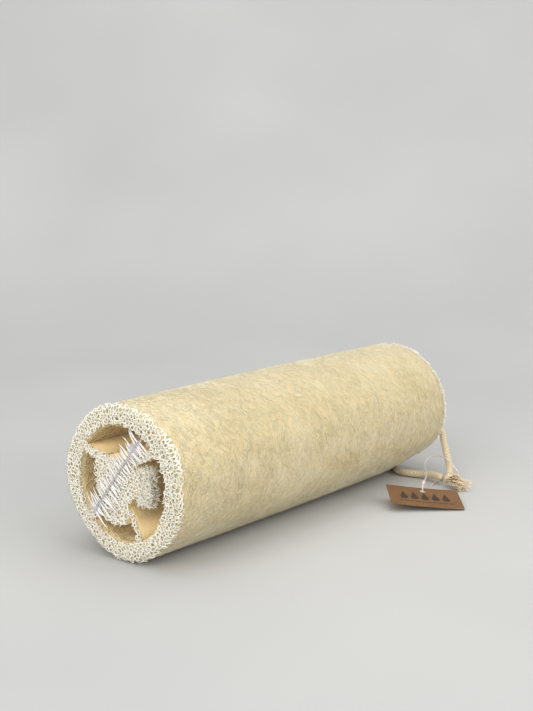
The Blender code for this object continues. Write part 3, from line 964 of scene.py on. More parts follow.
@dataclass
class CutFace:
    """A cut end: a network of fine struts with open pores, over the wall, the webs and the core."""

    shape: BodyShape
    finishes: Finishes
    end: End
    spacing: float = 2.25 * MM
    layers: int = 2
    layer_step: float = 1.15 * MM
    strut: float = 0.3 * MM
    curls: int = 700
    seed: int = 5

    @property
    def plane(self) -> float:
        """Where the cut face lies along the loofah."""
        return NEAR_FACE if self.end is End.NEAR else FAR_FACE

    @property
    def name(self) -> str:
        """The end's plain name."""
        return self.end.name.lower()

    def build(self) -> None:
        """Build the layers of struts and the loose curls over them."""
        for layer in range(self.layers):
            self.build_layer(layer)
        self.build_curls()

    def world(self, right: np.ndarray, up: np.ndarray, depth: np.ndarray) -> np.ndarray:
        """World places of spots on the face.

        Args:
            right: Places to the right of the axis.
            up: Places over the axis.
            depth: Depths below the end plane.

        Returns:
            The places.
        """
        return np.stack([self.plane + self.end.value * depth, AXIS_Y - right, AXIS_Z + up], axis=-1)

    def build_layer(self, layer: int) -> None:
        """Build one layer of struts round the pores, with short links down into the fibre.

        Args:
            layer: Its number, from the face inwards.
        """
        rng = np.random.default_rng(self.seed + 13 * layer)
        reach = 45 * MM
        rows = int(2 * reach / (self.spacing * 0.866))
        columns = int(2 * reach / self.spacing)
        v, u = np.meshgrid(np.arange(rows), np.arange(columns), indexing="ij")
        right = (u + 0.5 * (v % 2)) * self.spacing - reach
        up = v * self.spacing * 0.866 - reach
        spots = np.stack([right.ravel(), up.ravel()], axis=1)
        spots = spots + rng.uniform(-0.38, 0.38, spots.shape) * self.spacing
        spots = spots[np.hypot(spots[:, 0], spots[:, 1]) < reach]
        result = delaunay_2d_cdt([Vector(p) for p in spots], [], [], 0, 1e-7)
        corners = np.array([tuple(p) for p in result[0]])
        triangles = np.array([t for t in result[2] if len(t) == 3])
        centres = corners[triangles].mean(axis=1)
        edges = np.sort(triangles[:, [0, 1, 1, 2, 2, 0]].reshape(-1, 2), axis=1)
        owner = np.repeat(np.arange(len(triangles)), 3)
        order = np.lexsort((edges[:, 1], edges[:, 0]))
        edges, owner = edges[order], owner[order]
        same = np.flatnonzero((edges[1:] == edges[:-1]).all(axis=1))
        pairs = np.stack([owner[same], owner[same + 1]], axis=1)
        found = [self.shape.face_depth(float(a), float(b), self.end) for a, b in centres]
        solid = np.array([d is not None for d in found])
        depth = np.array([0.0 if d is None else d for d in found])
        pairs = pairs[solid[pairs].all(axis=1)]
        depth = depth + 0.35 * MM + layer * self.layer_step + rng.uniform(0, 0.5, len(depth)) * MM
        knots = self.world(centres[:, 0], centres[:, 1], depth)
        a, b = knots[pairs[:, 0]], knots[pairs[:, 1]]
        near = np.linalg.norm(b - a, axis=1) > 0.25 * MM
        a, b = a[near], b[near]
        bow = rng.normal(0, 0.22, a.shape) * MM
        paths = np.stack([a, (a + b) / 2 + bow, b], axis=1)
        radii = self.strut * rng.uniform(0.72, 1.25, len(a))[:, None, None]
        # painted shade: each deeper layer of struts is darker
        shade = (0.95 - 0.3 * layer + rng.normal(0, 0.12, len(a)))[:, None, None]
        ref = np.broadcast_to(np.array([1.0, 0.21, 0.13]), paths.shape)
        mesh = tube_mesh(f"{self.name}_cut_layer_{layer + 1}", paths, ref, radii, shade, 4)
        finish_piece(mesh, self.finishes.cut)
        if layer == 0:
            held = knots[solid][:: 2]
            lean = rng.normal(0, 0.35, (len(held), 3)) * MM
            lean[:, 0] = self.end.value * 1.5 * MM
            links = np.stack([held, held + lean / 2, held + lean], axis=1)
            ref = np.broadcast_to(np.array([0.1, 1.0, 0.13]), links.shape)
            # painted shade: the links darken as they go down into the fibre
            shade = np.array([0.7, 0.45, 0.2])[None, :, None]
            mesh = tube_mesh(f"{self.name}_cut_links", links, ref, 0.8 * self.strut, shade, 4)
            finish_piece(mesh, self.finishes.cut)

    def build_curls(self) -> None:
        """Build the loose bright curls that lie over the network."""
        rng = np.random.default_rng(self.seed + 99)
        spots = []
        while len(spots) < self.curls:
            angle, radius = rng.uniform(0, TURN), 43 * MM * math.sqrt(rng.uniform())
            right, up = radius * math.cos(angle), radius * math.sin(angle)
            depth = self.shape.face_depth(right, up, self.end)
            if depth is not None:
                spots.append((right, up, depth))
        right, up, depth = (np.array(spots)[:, k][:, None] for k in range(3))
        turn = rng.uniform(-1.3, 1.3, len(spots))[:, None]
        heading = rng.uniform(0, TURN, len(spots))[:, None]
        length = rng.uniform(1.4, 3.2, len(spots))[:, None] * MM
        t = np.linspace(-0.5, 0.5, 5)[None]
        way = heading + turn * t * 2.2
        step = length * np.diff(t)[0, 0]
        x = np.cumsum(np.cos(way), axis=1) * step
        y = np.cumsum(np.sin(way), axis=1) * step
        arch = 0.3 * MM * (1 - (2 * t) ** 2)
        lowered = depth + 0.42 * MM - arch * rng.uniform(0.2, 1.0, len(spots))[:, None]
        paths = self.world(
            right + x - x.mean(1, keepdims=True), up + y - y.mean(1, keepdims=True), lowered
        )
        distance = np.hypot(paths[..., 1] - AXIS_Y, paths[..., 2] - AXIS_Z).max(axis=1)
        rim = self.shape.radius(
            np.full(len(spots), self.plane), np.arctan2(up[:, 0], right[:, 0])
        )
        paths = paths[distance < rim - 0.5 * MM]
        ref = np.broadcast_to(np.array([1.0, 0.21, 0.13]), paths.shape)
        shade = rng.uniform(0.6, 1.0, len(paths))[:, None, None]
        radii = rng.uniform(0.15, 0.25, len(paths))[:, None, None] * MM
        mesh = tube_mesh(f"{self.name}_cut_curls", paths, ref, radii, shade, 3)
        finish_piece(mesh, self.finishes.cut)


@dataclass
class InnerFibre:
    """The core and the webs inside, and the sparse fibres that line the chambers."""

    shape: BodyShape
    finishes: Finishes
    face_inset: float = 2.6 * MM
    lining: int = 1500
    lining_depth: float = 48 * MM
    mass: int = 1400
    mass_low: Point = (11.5, -9.0, 1.5)
    mass_high: Point = (20.0, 10.0, 8.0)
    mass_length: tuple[float, float] = (2.0, 5.0)
    mass_radius: tuple[float, float] = (0.14, 0.24)

    def build(self) -> None:
        """Build the core, the webs and the lining of both ends."""
        self.build_base("core_base", "loofah_core", "loofah_core")
        for side in ("upper_left", "upper_right", "lower_right", "lower_left"):
            self.build_base(f"web_base_{side}", f"web_{side}", "loofah_web")
        for end in End:
            self.build_lining(end)
        self.build_mass()

    def build_mass(self) -> None:
        """Build the loose fibres that grow from the core into the right chamber at the near end."""
        rng = np.random.default_rng(77)
        count = self.mass
        low, high = np.array(self.mass_low), np.array(self.mass_high)
        share = rng.uniform(0, 1, (count, 3))
        share[:, 0] = share[:, 0] ** 1.6
        spot = low + share * (high - low)
        way = unit(rng.normal(0, 1, (count, 3)) * np.array([1.0, 1.0, 0.6]))
        bend = rng.normal(0, 0.6, (count, 3))
        t = np.linspace(-0.5, 0.5, 5)[None, :, None]
        length = rng.uniform(*self.mass_length, count)[:, None, None]
        run = spot[:, None] + length * (way[:, None] * t + bend[:, None] * t**2)
        run[..., 2] = np.maximum(run[..., 2], 1.0)
        paths = np.stack(
            [NEAR_FACE + run[..., 2] * MM, AXIS_Y - run[..., 0] * MM, AXIS_Z + run[..., 1] * MM],
            axis=-1,
        )
        ref = np.broadcast_to(np.array([0.31, 0.52, 0.8]), paths.shape)
        radii = rng.uniform(*self.mass_radius, count)[:, None, None] * MM
        shade = rng.uniform(0.55, 1.0, count)[:, None, None]
        mesh = tube_mesh("chamber_fibre_mass", paths, ref, radii, shade, 3)
        finish_piece(mesh, self.finishes.cut)

    def build_base(self, name: str, node: str, slot: str) -> None:
        """Copy a CAD node, drawn in at both cut ends.

        Args:
            name: The new piece's name.
            node: The CAD node.
            slot: Not used.
        """
        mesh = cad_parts[node].data.copy()
        mesh.name = name
        work = bmesh.new()
        work.from_mesh(mesh)
        bmesh.ops.remove_doubles(work, verts=work.verts, dist=0.01 * MM)
        for corner in work.verts:
            if corner.co.x < NEAR_FACE + MM:
                corner.co.x += self.face_inset
            elif corner.co.x > FAR_FACE - MM:
                corner.co.x -= self.face_inset
        work.to_mesh(mesh)
        work.free()
        mesh.shade_smooth()
        mesh.set_sharp_from_angle(angle=math.radians(40))
        layer = mesh.attributes.new("shade", "FLOAT", "POINT")
        layer.data.foreach_set("value", np.full(len(mesh.vertices), 0.45, np.float32))
        finish_piece(mesh, self.finishes.inner_base, (node,))

    def build_lining(self, end: End) -> None:
        """Build fibres that run along the chamber wall at one end.

        Args:
            end: Which end.
        """
        rng = np.random.default_rng(70 + end.value)
        count = self.lining
        plane = NEAR_FACE if end is End.NEAR else FAR_FACE
        depth = 2 * MM + self.lining_depth * rng.uniform(0, 1, count)[:, None] ** 1.4
        angle0 = rng.uniform(0, TURN, count)[:, None]
        heading = rng.normal(0, 0.55, count)[:, None]
        length = rng.uniform(5, 16, count)[:, None] * MM
        s = np.linspace(0, 1, 5)[None]
        way = heading + rng.normal(0, 0.5, count)[:, None] * s
        x = plane + end.value * (depth + np.cos(way) * s * length)
        angle = angle0 + np.sin(way) * s * length / (31 * MM)
        lift = rng.uniform(0.2, 0.75, count)[:, None] * MM
        paths = self.shape.place(x, angle, CAVITY_RADIUS - lift)
        ref = self.shape.place(x * 0, angle, np.ones_like(x)) - np.array([0, AXIS_Y, AXIS_Z])
        radii = rng.uniform(0.1, 0.22, count)[:, None, None] * MM
        shade = rng.uniform(0.2, 0.9, count)[:, None, None]
        name = f"chamber_lining_{end.name.lower()}"
        finish_piece(
            tube_mesh(name, paths, ref, radii, shade, 3), self.finishes.inner
        )


# The shrink film


@dataclass
class ShrinkFilm:
    """Clear shrink film: sleeve, gathered near end with its seal seam, and the far lip."""

    shape: BodyShape
    finishes: Finishes
    standoff: float = 0.42 * MM
    thickness: float = 0.08 * MM
    seam_low: tuple[float, float] = (-19.0, -18.0)
    seam_high: tuple[float, float] = (16.5, 26.5)
    pleats: int = 60
    pleat_reach: tuple[float, float] = (5.5, 10.0)
    pleat_radius: tuple[float, float] = (0.3, 0.52)

    def build(self) -> None:
        """Build every piece of the film."""
        self.build_sleeve()
        self.build_near_end()
        self.build_seam()
        self.build_pleats()
        self.build_patch("film_patch_upper", 0.86, 5.2, 3.6, 1)
        self.build_patch("film_patch_lower", 0.07, 4.6, 3.6, 2)
        self.build_far_lip()

    def shell(
        self, name: str, points: np.ndarray, faces: list[np.ndarray], replaced: tuple[str, ...]
    ) -> None:
        """Give a film surface its thickness and finish it.

        Args:
            name: The piece's name.
            points: Its points.
            faces: Its faces.
            replaced: CAD nodes that it stands for.
        """
        mesh = mesh_of(name, points, faces)
        finish = self.finishes.film if name == "shrink_sleeve" else self.finishes.film_end
        piece = finish_piece(mesh, finish, replaced)
        thick = piece.modifiers.new("film_thickness", "SOLIDIFY")
        thick.thickness = self.thickness
        thick.offset = -1.0
        applied(piece, thick)

    def build_sleeve(self) -> None:
        """Build the sleeve, lightly wrinkled."""
        rows, columns = 110, 180
        x = np.linspace(NEAR_FACE - 0.2 * MM, FAR_FACE + 0.2 * MM, rows)[:, None]
        angle = (TURN * np.arange(columns) / columns)[None]
        creases = 0.1 * MM * ripple(x / MM * 0.35, angle * 42, 21, 0.8)
        points = self.shape.place(x, angle, self.shape.radius(x, angle) + self.standoff + creases)
        faces = grid_faces(rows, columns, True)[:, ::-1]
        self.shell("shrink_sleeve", points.reshape(-1, 3), [faces], ("film_sleeve",))

    def seam_frame(self) -> tuple[np.ndarray, np.ndarray, np.ndarray, float]:
        """The seam's start, its direction, the direction across it and its length, in mm.

        Returns:
            Start, along, across (each right and up) and length.
        """
        low, high = np.array(self.seam_low), np.array(self.seam_high)
        length = float(np.linalg.norm(high - low))
        along = (high - low) / length
        return low, along, np.array([along[1], -along[0]]), length

    def build_near_end(self) -> None:
        """Build the film across the near face, gathered towards the seam."""
        rows, columns = 70, 200
        low, along, across, length = self.seam_frame()
        share = np.linspace(0.02, 1, rows)[:, None]
        angle = (TURN * np.arange(columns) / columns)[None]
        rim = self.shape.radius(np.full((1, columns), NEAR_FACE), angle) + self.standoff
        radius = share * rim
        right, up = radius * np.cos(angle) / MM, radius * np.sin(angle) / MM
        s = (right - low[0]) * along[0] + (up - low[1]) * along[1]
        d = (right - low[0]) * across[0] + (up - low[1]) * across[1]
        inside = np.clip(np.minimum(s, length - s) / 4 + 1, 0, 1)
        gather = 0.3 * np.sin(TURN * s / 2.1 + 0.5 * d) * np.exp(-(np.abs(d) / 6) ** 2) * inside
        x = NEAR_FACE - (0.45 + gather * 0.8) * MM + 0.9 * MM * np.clip(share - 0.94, 0, 1) / 0.06
        points = np.stack([x, AXIS_Y - right * MM, AXIS_Z + up * MM], axis=-1).reshape(-1, 3)
        faces = grid_faces(rows, columns, True)
        cap = np.arange(columns)[None]
        self.shell("shrink_near_end", points, [faces[:, ::-1], cap], ("film_near_end",))

    def build_seam(self) -> None:
        """Build the seal seam as a wavy flattened bead."""
        low, along, across, length = self.seam_frame()
        s = np.linspace(0, length, 80)
        wave = 0.8 * ripple(s, s * 0, 31, 1.5)
        spots = low + s[:, None] * along + wave[:, None] * across
        x = np.full(len(s), NEAR_FACE - 1.05 * MM)
        path = np.stack([x, AXIS_Y - spots[:, 0] * MM, AXIS_Z + spots[:, 1] * MM], axis=1)
        normals = np.broadcast_to(np.array([1.0, 0, 0]), path.shape)
        angles = TURN * np.arange(8) / 8
        flat = 0.2 * np.abs(np.cos(angles)) + 0.4 * np.abs(np.sin(angles))
        uneven = 1 + 0.25 * ripple(s, s * 0, 32, 2.2)
        radii = (flat[None] * uneven[:, None])[None] * MM
        mesh = tube_mesh("film_seal_seam", path[None], normals[None], radii, np.array(0.5), 8)
        finish_piece(mesh, self.finishes.film_patch, ("film_end_seam",))

    def build_pleats(self) -> None:
        """Build the raised gathers on both sides of the seam."""
        rng = np.random.default_rng(33)
        low, along, across, length = self.seam_frame()
        t = np.linspace(0, 1, 7)
        paths, radii, shades = [], [], []
        for side in (-1, 1):
            s0 = np.linspace(1.5, length - 2, self.pleats // 2)
            for s in s0 + rng.normal(0, 0.45, len(s0)):
                wider = 1.35 if side > 0 and s < length * 0.35 else 1.0
                reach = rng.uniform(*self.pleat_reach) * wider
                lean = rng.normal(0.12, 0.16)
                d = side * (0.5 + reach * t)
                shift = s + lean * reach * t + 0.25 * np.sin(5 * t + s)
                spots = low + shift[:, None] * along + d[:, None] * across
                x = NEAR_FACE - (0.62 + 0.25 * np.sin(math.pi * t)) * MM
                paths.append(
                    np.stack([x, AXIS_Y - spots[:, 0] * MM, AXIS_Z + spots[:, 1] * MM], axis=1)
                )
                radii.append(rng.uniform(*self.pleat_radius) * MM * (1 - t**2.2 * 0.9))
                shades.append(rng.uniform(0.4, 1.0))
        paths = np.array(paths)
        ref = np.broadcast_to(np.array([1.0, 0.0, 0.0]), paths.shape)
        # the pleats are real folds; their near-opaque white finish is painted highlight
        mesh = tube_mesh(
            "film_gathers",
            paths,
            ref,
            np.array(radii)[..., None],
            np.array(shades)[:, None, None],
            6,
        )
        finish_piece(mesh, self.finishes.film_gathered_painted_highlight)

    def build_patch(self, name: str, where: float, long: float, wide: float, seed: int) -> None:
        """Build a crumpled fold of film at one end of the seam.

        Args:
            name: The piece's name.
            where: Its place along the seam, from 0 to 1.
            long: Half its length along the seam, in millimetres.
            wide: Half its width, in millimetres.
            seed: Seed of its crumples.
        """
        low, along, across, length = self.seam_frame()
        centre = low + along * length * where
        rows, columns = 16, 40
        share = np.linspace(0.03, 1, rows)[:, None]
        angle = (TURN * np.arange(columns) / columns)[None]
        edge = 1 + 0.22 * np.sin(3 * angle + seed) + 0.12 * np.sin(7 * angle + 2 * seed)
        s = share * edge * long * np.cos(angle)
        d = share * edge * wide * np.sin(angle)
        crumple = 0.3 * ripple(s, d, 50 + seed, 1.6) + 0.15 * ripple(s, d, 60 + seed, 3.4)
        right = centre[0] + s * along[0] + d * across[0]
        up = centre[1] + s * along[1] + d * across[1]
        x = NEAR_FACE - (0.95 + crumple * (1 - share**3)) * MM
        points = np.stack([x, AXIS_Y - right * MM, AXIS_Z + up * MM], axis=-1).reshape(-1, 3)
        faces = grid_faces(rows, columns, True)
        mesh = mesh_of(name, points, [faces, np.arange(columns)[None, ::-1]])
        recalculated(mesh)
        piece = finish_piece(mesh, self.finishes.film_patch)
        thick = piece.modifiers.new("film_thickness", "SOLIDIFY")
        thick.thickness = self.thickness
        applied(piece, thick)

    def build_far_lip(self) -> None:
        """Build the ragged lip of film round the open corded end."""
        rows, columns = 12, 200
        angle = (TURN * np.arange(columns) / columns)[None]
        share = np.linspace(0, 1, rows)[:, None]
        rim = self.shape.radius(np.full((1, columns), FAR_FACE), angle) + self.standoff
        mouth = CAVITY_RADIUS + (1.2 + 0.9 * ripple(angle * 30, angle * 0, 41, 0.5)) * MM
        radius = rim + (mouth - rim) * share
        lift = (0.35 + 0.2 * ripple(angle * 30, share * 9, 42, 0.7)) * MM
        x = FAR_FACE + lift * np.minimum(1, share * 6)
        points = self.shape.place(x, angle, radius).reshape(-1, 3)
        faces = grid_faces(rows, columns, True)[:, ::-1]
        self.shell("shrink_far_lip", points, [faces], ("film_far_lip",))


# The hanging cord


def at_corded_end(points: tuple[Point, ...]) -> np.ndarray:
    """World places of route points measured from the corded end.

    Args:
        points: (from the corded end, from the axis, over the floor), in millimetres.

    Returns:
        The places, in metres.
    """
    return np.array(points) * MM + np.array([CORDED_END, AXIS_Y, 0.0])


@dataclass
class HangingCord:
    """Braided cotton cord: the threaded stretch, two legs, the knot and the frayed tails."""

    finishes: Finishes
    diameter: float = 4.5 * MM
    strands: int = 4
    pitch: float = 9.5 * MM
    sides: int = 40
    spacing: float = 0.45 * MM
    threaded: tuple[Point, ...] = (
        (0.3, -1.5, 14.2), (-4.5, -1.5, 14.2), (-9.1, -2.3, 14.6), (-13.4, -3.8, 15.7),
        (-16.9, -6.2, 17.7), (-19.2, -9.3, 20.8), (-19.2, -12.2, 24.4), (-17.2, -14.7, 27.8),
        (-13.5, -16.2, 30.4), (-9.2, -16.8, 32.3), (-4.5, -17.0, 33.0), (0.3, -17.0, 33.0),
    )
    leg_front: tuple[Point, ...] = (
        (1.5, -1.5, 14.2), (7.4, -1.5, 14.1), (12.8, 0.9, 12.9), (15.9, 5.4, 11.0),
        (15.9, 10.3, 8.4), (12.9, 14.3, 5.9), (8.0, 15.8, 3.7), (2.7, 14.4, 2.6),
        (-1.8, 9.9, 2.5), (-3.8, 4.6, 2.6), (-6.3, -0.3, 2.5), (-8.2, -5.1, 2.5),
        (-12.1, -9.8, 2.5), (-16.3, -13.0, 2.5), (-20.6, -17.0, 2.6), (-22.7, -22.5, 2.6),
        (-22.7, -27.6, 2.6), (-21.3, -33.4, 2.8), (-20.7, -38.3, 3.2), (-21.1, -44.2, 4.0),
        (-23.2, -48.7, 4.4), (-26.2, -53.9, 5.0),
    )
    leg_rear: tuple[Point, ...] = (
        (1.7, -17.0, 33.0), (6.6, -18.0, 32.5), (10.8, -20.7, 31.0), (13.0, -24.6, 28.6),
        (12.6, -29.1, 25.8), (9.2, -33.4, 22.6), (5.9, -36.1, 19.9), (3.0, -38.9, 17.0),
        (0.0, -41.8, 13.9), (-3.2, -44.9, 10.5), (-6.6, -47.9, 8.0), (-10.5, -50.8, 6.4),
        (-15.5, -53.5, 6.0), (-20.0, -56.0, 5.7),
    )
    knot_place: Point = (-25.6, -60.3, 5.4)
    tail_front: tuple[Point, ...] = ((-30.0, -64.6, 6.2), (-35.5, -69.8, 8.2), (-41.0, -74.2, 9.4))
    tail_rear: tuple[Point, ...] = ((-27.5, -66.3, 4.4), (-30.0, -73.5, 3.6), (-34.5, -81.5, 3.3))
    yarns: int = 95
    declared_points: int = 32
    yarn_reach: tuple[float, float] = (0.32, 0.64)
    yarn_radius: tuple[float, float] = (0.28, 0.46)
    yarn_floor: float = 0.6 * MM

    def build(self) -> None:
        """Build the cord: the threaded stretch, the knot, the frayed tails and the two legs."""
        self.braid("braid_threaded", self.threaded, ("cord_threaded",))
        knot = self.build_knot()
        tassels = [
            self.build_tassel("frayed_yarn_front", self.tail_front, "frayed_tail_front", 3),
            self.build_tassel("frayed_yarn_rear", self.tail_rear, "frayed_tail_rear", 4),
        ]
        for name, route, node in (
            ("braid_leg_front", self.leg_front, "cord_leg_front"),
            ("braid_leg_rear", self.leg_rear, "cord_leg_rear"),
        ):
            piece, path = self.braid(name, route, (node,))
            route_length(path)

    def weave(self, along: np.ndarray, angle: np.ndarray, pitch: float) -> np.ndarray:
        """Height of the braid over its core, from 0 to 1.

        Args:
            along: Distance along the cord.
            angle: Angle round it.
            pitch: Length of one turn of a strand.

        Returns:
            The height.
        """
        first = self.strands * angle / TURN + along * self.strands / pitch
        second = self.strands * angle / TURN - along * self.strands / pitch
        over = (np.floor(first) + np.floor(second)) % 2
        high = np.abs(np.sin(math.pi * first)) ** 0.6
        other = np.abs(np.sin(math.pi * second)) ** 0.6
        return np.where(over > 0, np.maximum(high, 0.45 * other), np.maximum(other, 0.45 * high))

    def surface(
        self, name: str, path: np.ndarray, radius: float
    ) -> bpy.types.Mesh:
        """The braided surface round a path.

        Args:
            name: The mesh's name.
            path: The centreline.
            radius: The cord's outer radius.

        Returns:
            The mesh.
        """
        along = np.concatenate([[0], np.cumsum(np.linalg.norm(np.diff(path, axis=0), axis=1))])
        angle = TURN * np.arange(self.sides) / self.sides
        height = self.weave(along[:, None], angle[None], self.pitch)
        radii = radius * (0.8 + 0.2 * height)
        # painted shade: the braid's low places between strands are darker, its raised strands lighter
        shade = 0.1 + 0.85 * height
        return tube_mesh(
            name, path[None], carried_normals(path)[None], radii[None], shade[None], self.sides
        )

    def braid(
        self, name: str, route: tuple[Point, ...], replaced: tuple[str, ...]
    ) -> tuple[bpy.types.Object, np.ndarray]:
        """Build one stretch of braided cord.

        Args:
            name: The piece's name.
            route: Its route points.
            replaced: CAD nodes that it stands for.

        Returns:
            The piece and its centreline.
        """
        path = smooth_route(at_corded_end(route), self.spacing)
        mesh = self.surface(name, path, self.diameter / 2)
        return finish_piece(mesh, self.finishes.cotton, replaced), path

    def build_knot(self) -> bpy.types.Object:
        """Build the knot: the cord drawn tight through itself.

        Returns:
            The piece.
        """
        t = np.linspace(0, TURN, 150)
        turn = np.stack(
            [np.sin(t) + 2 * np.sin(2 * t), np.cos(t) - 2 * np.cos(2 * t), -1.25 * np.sin(3 * t)],
            axis=1,
        )
        centre = at_corded_end((self.knot_place,))[0]
        path = centre + turn * 1.08 * MM
        mesh = self.surface("cord_overhand_knot", path, 1.85 * MM)
        return finish_piece(mesh, self.finishes.cotton, ("cord_knot",))

    def build_tassel(
        self, name: str, route: tuple[Point, ...], node: str, seed: int
    ) -> bpy.types.Object:
        """Build the frayed yarns of one tail.

        Args:
            name: The piece's name.
            route: The middle line of the tail.
            node: The CAD node that it stands for.
            seed: Seed of the yarns.

        Returns:
            The piece.
        """
        rng = np.random.default_rng(seed)
        start = at_corded_end((self.knot_place,))
        line = np.vstack([start, at_corded_end(route)])
        middle = smooth_route(line, 1.6 * MM)
        count = len(middle)
        t = np.linspace(0, 1, count)
        normals = carried_normals(middle)
        other = np.cross(unit(np.gradient(middle, axis=0)), normals)
        angle = rng.uniform(0, TURN, self.yarns)[:, None]
        out = np.sqrt(rng.uniform(0, 1, self.yarns))[:, None]
        spread = out * (1.5 + 3.9 * t[None] ** 0.6) * MM
        wobble = 0.85 * MM * t[None] * np.sin(
            rng.uniform(5, 11, self.yarns)[:, None] * t[None] + angle * 3
        )
        paths = (
            middle[None]
            + normals[None] * (spread * np.cos(angle) + wobble)[..., None]
            + other[None] * (spread * np.sin(angle) + wobble * 0.7)[..., None]
        )
        reach = rng.uniform(*self.yarn_reach, self.yarns)[:, None]
        places = reach * (count - 1) * np.linspace(0, 1, count)[None]
        low = np.minimum(places.astype(int), count - 2)
        part = (places - low)[..., None]
        rows = np.arange(self.yarns)[:, None]
        paths = paths[rows, low] * (1 - part) + paths[rows, low + 1] * part
        paths[..., 2] = np.maximum(paths[..., 2], self.yarn_floor)
        radii = rng.uniform(*self.yarn_radius, self.yarns)[:, None, None] * MM
        radii = radii * (1 - 0.35 * t[None, :, None])
        shade = rng.uniform(0.3, 1.0, self.yarns)[:, None, None]
        ref = np.broadcast_to(np.array([0.2, 0.3, 1.0]), paths.shape)
        mesh = tube_mesh(name, paths, ref, radii, shade, 5)
        return finish_piece(mesh, self.finishes.yarn, (node,))


# The tag and its loop pin


@dataclass
class TagCard:
    """Kraft card tag with rounded corners and a punched hole, a little curled."""

    finishes: Finishes
    length: float = 44.0 * MM
    width: float = 24.0 * MM
    thickness: float = 0.45 * MM
    hole: float = 3.6 * MM
    hole_inset: float = 4.0 * MM
    hole_place: Point = (-64.0, -63.2, 6.6)
    turn: float = -46.2
    roll: float = -6.5
    lean: float = 11.0
    curl: float = 0.55 * MM

    def build(self) -> None:
        """Build the card flat, punch its hole, curl it and put it in its place."""
        bpy.ops.object.select_all(action="DESELECT")
        bpy.ops.mesh.primitive_grid_add(x_subdivisions=44, y_subdivisions=24, size=1.0)
        card = bpy.context.object
        card.name = card.data.name = "kraft_tag"
        self.lay_out(card.data)
        thick = card.modifiers.new("card_thickness", "SOLIDIFY")
        thick.thickness = self.thickness
        thick.offset = 0.0
        applied(card, thick)
        self.punch(card)
        edges = card.modifiers.new("soft_edges", "BEVEL")
        edges.width = 0.06 * MM
        edges.limit_method = "ANGLE"
        edges.angle_limit = math.radians(50)
        applied(card, edges)
        self.map_print(card.data)
        half = self.length / 2
        for corner in card.data.vertices:
            share = corner.co.x / half
            across = -corner.co.y / self.width
            corner.co.z += self.curl * (share**2 * 0.9 - 0.25) + 0.25 * MM * across**2
        card.data.transform(self.matrix())
        card.data.materials.clear()
        card.data.materials.append(self.finishes.card)
        card.data.shade_smooth()
        card.data.set_sharp_from_angle(angle=math.radians(40))
        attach(card, Body.TAG.value)
        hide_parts("tag_card")
        LOG.info("%s: %d faces", card.name, len(card.data.polygons))

    def lay_out(self, mesh: bpy.types.Mesh) -> None:
        """Give the grid the card's size, with rounded corners, and the hole's place as its origin.

        Args:
            mesh: The grid's mesh.
        """
        for corner in mesh.vertices:
            x, y = corner.co.x, corner.co.y
            at_corner = abs(x) > 0.499 and abs(y) > 0.499
            draw = 0.3 * MM if at_corner else 0.0
            corner.co.x = x * self.length - math.copysign(draw, x)
            corner.co.y = y * self.width - math.copysign(draw, y) + self.hole_inset - self.width / 2

    def punch(self, card: bpy.types.Object) -> None:
        """Cut the round hole.

        Args:
            card: The flat card.
        """
        bpy.ops.object.select_all(action="DESELECT")
        bpy.ops.mesh.primitive_cylinder_add(
            vertices=32, radius=self.hole / 2, depth=6 * MM, location=(0, 0, 0)
        )
        cutter = bpy.context.object
        cut = card.modifiers.new("hole", "BOOLEAN")
        cut.operation = "DIFFERENCE"
        cut.object = cutter
        cut.solver = "EXACT"
        applied(card, cut)
        bpy.data.objects.remove(cutter, do_unlink=True)

    def map_print(self, mesh: bpy.types.Mesh) -> None:
        """Write the card's own UV map, in millimetres; its back and edges lie off the print.

        Args:
            mesh: The flat card's mesh.
        """
        while mesh.uv_layers:
            mesh.uv_layers.remove(mesh.uv_layers[0])
        layer = mesh.uv_layers.new(name="card")
        for face in mesh.polygons:
            aside = 0.0 if face.normal.z > 0.5 else 60.0
            for corner in face.loop_indices:
                spot = mesh.vertices[mesh.loops[corner].vertex_index].co
                layer.data[corner].uv = (spot.x / MM + aside, spot.y / MM)

    def matrix(self) -> Matrix:
        """Where the card lies.

        Returns:
            The card's place, turned as the CAD has it.
        """
        turn = Matrix.Rotation(math.radians(self.turn), 4, "Z")
        roll = Matrix.Rotation(math.radians(-self.roll), 4, "Y")
        lean = Matrix.Rotation(math.radians(self.lean), 4, "X")
        place = Vector(at_corded_end((self.hole_place,))[0])
        return Matrix.Translation(place) @ turn @ roll @ lean


